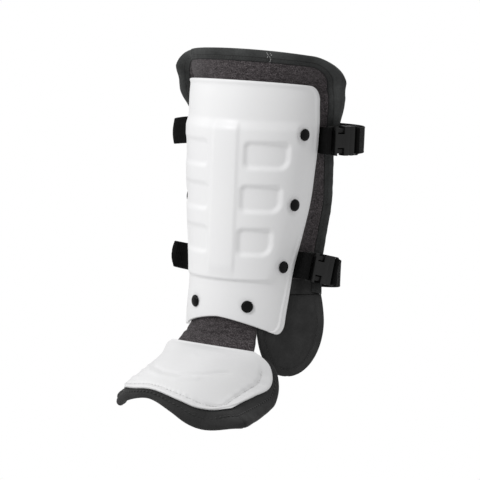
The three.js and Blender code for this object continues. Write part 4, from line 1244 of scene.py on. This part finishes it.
class Strap:
    """Place of one strap: the frame of its buckle and points on the pad beside the shell."""

    def __init__(self, name, sizes):
        self.name = name
        self.sizes = sizes
        self.height = height_at(sizes["height"])
        self.pivot_y = float(leg_point(shell_edge(self.height), self.height, 0)[1])
        self.slope = math.tan(math.radians(sizes["tilt"]))
        self.wing = float(leg(self.height, "wing", PAD_REACH))
        heading = float(shell_edge(self.height) / leg(self.height, "radius", LEG_RADIUS))
        flare = float(leg(self.height, "flare", PAD_FLARE))
        turn = heading + math.radians(sizes["turn"] - flare)
        along = Vector((math.cos(turn), math.sin(turn), 0))
        along.z = -along.y * self.slope
        self.along = along.normalized()
        self.lean = (Vector((0, 0, 1)) - self.along * self.along.z).normalized()
        self.out = self.along.cross(self.lean).normalized()
        self.home = self.beside_shell(1, self.wing - sizes["overlap"], 0, -sizes["lift"])

    def beside_shell(self, side, past, up, depth):
        """Point on a slanting line round the leg, past the shell's edge on one side."""
        level = self.height + up
        flat = leg_point(side * (shell_edge(level) + past), level, depth)
        z = level - (flat[1] - self.pivot_y) * self.slope
        return Vector(leg_point(side * (shell_edge(z) + past), z, depth))

    def loop_stops(self, bar, start, end):
        """Stops of webbing round a bar: place, outward direction and upward direction."""
        stops = []
        for turn in angles(start, end, 26):
            x, y = LOOP_RADIUS * math.cos(turn), LOOP_RADIUS * math.sin(turn)
            outward = (self.along * x + self.out * y).normalized()
            place = self.home + self.along * (bar + x) + self.out * y
            stops.append((place, outward, self.lean))
        return stops

    def pad_stop(self, side, past, rise=0.0):
        """Stop of webbing that lies on the pad, or stands off it by a rise."""
        lift = BINDING_COVER + CLEARANCE + WEBBING_THICKNESS / 2 + WEBBING_EASE + rise
        depth = PAD_OUTER_DEPTH - lift
        at = self.beside_shell(side, past, 0, depth)
        outward = self.beside_shell(side, past, 0, depth - 1) - at
        low, high = (self.beside_shell(side, past, k * WEBBING_WIDTH / 2, depth) for k in (-1, 1))
        return at, outward.normalized(), (high - low).normalized()


def smooth_path(points, count):
    """Even points on a smooth curve through the given ones."""
    points = np.array([tuple(p) for p in points])
    gaps = np.linalg.norm(np.diff(points, axis=0), axis=1) ** 0.5
    knots = np.r_[0, np.cumsum(gaps)]
    slopes = np.gradient(points, knots, axis=0)
    fine = np.linspace(0, knots[-1], 1200)
    i = np.clip(np.searchsorted(knots, fine) - 1, 0, len(knots) - 2)
    span = (knots[i + 1] - knots[i])[:, None]
    t = (fine - knots[i])[:, None] / span
    curve = hermite(points[i], points[i + 1], slopes[i] * span, slopes[i + 1] * span, t)
    length = run_length(curve)
    even = np.linspace(0, length[-1], count)
    return np.stack([np.interp(even, length, side) for side in curve.T], -1)


def webbing_section():
    """Half width and thickness of webbing with a thicker selvage at each edge."""
    half, thick = WEBBING_WIDTH / 2, WEBBING_THICKNESS / 2
    rise = [(half, 0), (half - 0.25, 0.62), (half - 0.8, 0.95), (half - 1.5, 0.9), (half - 2.0, 0.72)]
    rise += [(share * half, 0.74) for share in (0.6, 0.3, 0, -0.3, -0.6)]
    rise += [(-across, height) for across, height in rise[4::-1]]
    front = [(across, height * thick) for across, height in rise]
    back = [(across, -height) for across, height in front[-2:0:-1]]
    return np.array(front + back)


def webbing_piece(name, stops, cup, node):
    """Webbing through its stops; cup is how far its middle bows outwards at each of them."""
    section = webbing_section()
    at, out, up = (np.array([tuple(stop[k]) for stop in stops]) for k in range(3))
    bow = np.reshape(cup, (-1, 1)) * (0.5 - (section[:, 0] / (WEBBING_WIDTH / 2)) ** 2)
    rise = (section[:, 1] + bow)[..., None]
    rings = at[:, None] + up[:, None] * section[:, :1] + out[:, None] * rise
    weave = pairs(run_length(at)[:, None], section[:, 0] + WEBBING_WIDTH)
    finish_piece(tube(name, rings, WEBBING, weave), node)


def path_stops(path):
    """Stops of upright webbing along a path."""
    ahead = unit(np.gradient(path, axis=0))
    up = unit(np.array([0, 0, 1.0]) - ahead * ahead[:, 2:])
    return list(zip(path, np.cross(ahead, up), up))


def build_anchor(strap):
    """Webbing from the shell's edge over the pad and round the buckle's bar."""
    reach = strap.wing - strap.sizes["overlap"] - SLOT_WIDTH - ANCHOR_LEAD
    shares = np.linspace(0, 1, 12)
    stops = [strap.pad_stop(1, SEWN_START + share * (reach - SEWN_START)) for share in shares]
    loop = strap.loop_stops(FEMALE_BAR, 180 - LOOP_LEAD, LOOP_LEAD - 100)
    bridge = smooth_path([stops[-2][0], stops[-1][0], loop[0][0], loop[2][0]], 12)[4:-4]
    for spot in bridge:
        share = (Vector(spot) - stops[-1][0]).length / (loop[0][0] - stops[-1][0]).length
        if 0 < share < 1:
            between = [stops[-1][k].lerp(loop[0][k], share).normalized() for k in (1, 2)]
            stops.append((Vector(spot), *between))
    webbing_piece(f"{strap.name}_anchor_webbing", stops + loop, 0, f"{strap.name}_strap_anchor")


def build_calf_strap(strap):
    """Webbing from the buckle's other bar round the calf to the far side of the shell."""
    loop = strap.loop_stops(MALE_BAR, 260, 80)
    leave = loop[-1][0]
    route = [leave]
    depth, sag = strap.sizes["depth"], strap.sizes["sag"]

    def add_turn(turn, half_width, start):
        y = start + (depth - start) * math.sin(math.radians(turn))
        x = half_width * math.cos(math.radians(turn))
        drop = (y - strap.home.y) * strap.slope + sag * (1 - x / leave.x) / 2
        route.append(Vector((x, y, strap.home.z - drop)))

    quarter = (0, 16, 36, 58, 80)
    for turn in quarter[1:]:
        add_turn(turn, leave.x, leave.y)
    for turn in quarter[::-1]:
        add_turn(turn, -strap.sizes["half_width"], 0.5 * depth)
    sewn = [
        strap.pad_stop(-1, strap.wing + 3, FAR_RISE),
        strap.pad_stop(-1, strap.wing - BINDING_WIDTH, FAR_RISE * 2 / 3),
        strap.pad_stop(-1, STRAP_SWELL, FAR_RISE / 8),
        strap.pad_stop(-1, SEWN_START),
    ]
    path = smooth_path(route + [stop[0] for stop in sewn], 190)
    stops = loop + path_stops(path)[1:-1] + [sewn[-1]]
    share = np.linspace(0, 1, len(stops))
    cup = strap.sizes["cup"] * smooth(share, 0.15, 0.4) * smooth(share, 0.97, 0.85)
    webbing_piece(f"{strap.name}_calf_webbing", stops, cup, f"{strap.name}_calf_strap")


def bevelled_copy(node, name, width):
    """The solid's own shape with its edges rounded as moulded plastic is."""
    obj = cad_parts[node].copy()
    obj.data = obj.data.copy()
    obj.name = name
    bpy.context.collection.objects.link(obj)
    with shaping(obj.data) as shaped:
        bmesh.ops.remove_doubles(shaped, verts=shaped.verts, dist=0.00002)
        bmesh.ops.dissolve_limit(shaped, angle_limit=0.02, verts=shaped.verts, edges=shaped.edges)
    obj.data.materials.clear()
    obj.data.materials.append(BLACK)
    obj.data.polygons.foreach_set("use_smooth", np.ones(len(obj.data.polygons), bool))
    bevel = obj.modifiers.new("rounded_edges", "BEVEL")
    bevel.width = width * MM
    bevel.segments = 3
    bevel.limit_method = "ANGLE"
    bevel.angle_limit = math.radians(35)
    bevel.harden_normals = True
    return obj


def deepen_windows(obj, strap):
    """Carries the inner edges of a buckle's two side windows further in, on its outer face."""
    for vertex in obj.data.vertices:
        away = vertex.co / MM - strap.home
        across = away.dot(strap.lean)
        beside = WINDOW_START - 0.2 < away.dot(strap.along) < WINDOW_END + 0.2
        if beside and away.dot(strap.out) > 0 and abs(abs(across) - WINDOW_EDGE) < 0.1:
            vertex.co -= strap.lean * math.copysign(WINDOW_DEEPER * MM, across)


for strap_name, strap_sizes in zip(("upper", "lower"), STRAPS):
    strap = Strap(strap_name, strap_sizes)
    build_anchor(strap)
    build_calf_strap(strap)
    for half in ("female", "male"):
        node = f"{strap_name}_buckle_{half}"
        moulded = bevelled_copy(node, f"{node}_moulded", 0.45)
        if half == "female":
            deepen_windows(moulded, strap)
        finish_piece(moulded, node)


# Floor, light and camera

TARGET = Vector((15.234, 2.792, -38.226)) * MM
DISTANCE = 2.16
FLOOR_DROP = 0.9
FLOOR_HALF = 2.4
FAR_WHITE = 1.0
AMBIENT = 0.6


def build_floor():
    low = min(corner[2] for corner in cad_bounds) - FLOOR_DROP
    corners = [(x * FLOOR_HALF, y * FLOOR_HALF, low) for x, y in ((-1, -1), (1, -1), (1, 1), (-1, 1))]
    mesh = bpy.data.meshes.new("floor")
    mesh.from_pydata(corners, [], [(0, 1, 2, 3)])
    paint = Finish("floor_paint", roughness=0.9)
    cloud = paint.noise(3, 2)
    mesh.materials.append(paint.set(base_color=paint.mix(cloud, shade(0.84), shade(0.88))))
    link("floor", mesh)


def build_backdrop_light():
    """A world that lights softly and looks white behind the floor."""
    world = bpy.data.worlds.new("studio")
    world.use_nodes = True
    nodes = Nodes(world.node_tree)
    seen = nodes.add("ShaderNodeLightPath", output="Is Camera Ray")
    level = nodes.add("ShaderNodeMapRange", {"Value": seen, "To Min": AMBIENT, "To Max": FAR_WHITE})
    background = world.node_tree.nodes["Background"]
    nodes.fill(background, {"Color": (1, 1, 1, 1), "Strength": level})
    bpy.context.scene.world = world
    bpy.context.scene.view_settings.view_transform = "Standard"
    bpy.context.scene.view_settings.look = "None"


def add_light(name, place, size, power):
    light = bpy.data.lights.new(name, "AREA")
    light.shape = "RECTANGLE"
    light.size, light.size_y = size
    light.energy = power
    obj = link(name, light)
    obj.location = place
    obj.rotation_euler = (TARGET - Vector(place)).to_track_quat("-Z", "Y").to_euler()


def build_camera():
    azimuth, elevation, roll = (math.radians(angle) for angle in (27.5, 6.8, 2.3))
    level = math.cos(elevation)
    back = Vector((math.sin(azimuth) * level, -math.cos(azimuth) * level, math.sin(elevation)))
    right = Vector((math.cos(azimuth), math.sin(azimuth), 0))
    up = back.cross(right)
    turned = (
        right * math.cos(roll) + up * math.sin(roll),
        up * math.cos(roll) - right * math.sin(roll),
        back,
    )
    camera = bpy.data.cameras.new("camera")
    camera.sensor_width = 36
    camera.lens = 155.8
    obj = link("camera", camera)
    obj.matrix_world = Matrix.Translation(TARGET + back * DISTANCE) @ Matrix(turned).transposed().to_4x4()
    bpy.context.scene.camera = obj


build_floor()
build_backdrop_light()
add_light("key", (-0.75, -2.0, 1.6), (0.45, 0.45), 29)
add_light("side", (-2.4, -0.8, 0.9), (0.9, 0.9), 10)
add_light("top", (0.1, -1.0, 2.6), (0.8, 0.8), 6)
add_light("back", (0.2, 1.6, 1.4), (1.6, 1.2), 12)
build_camera()
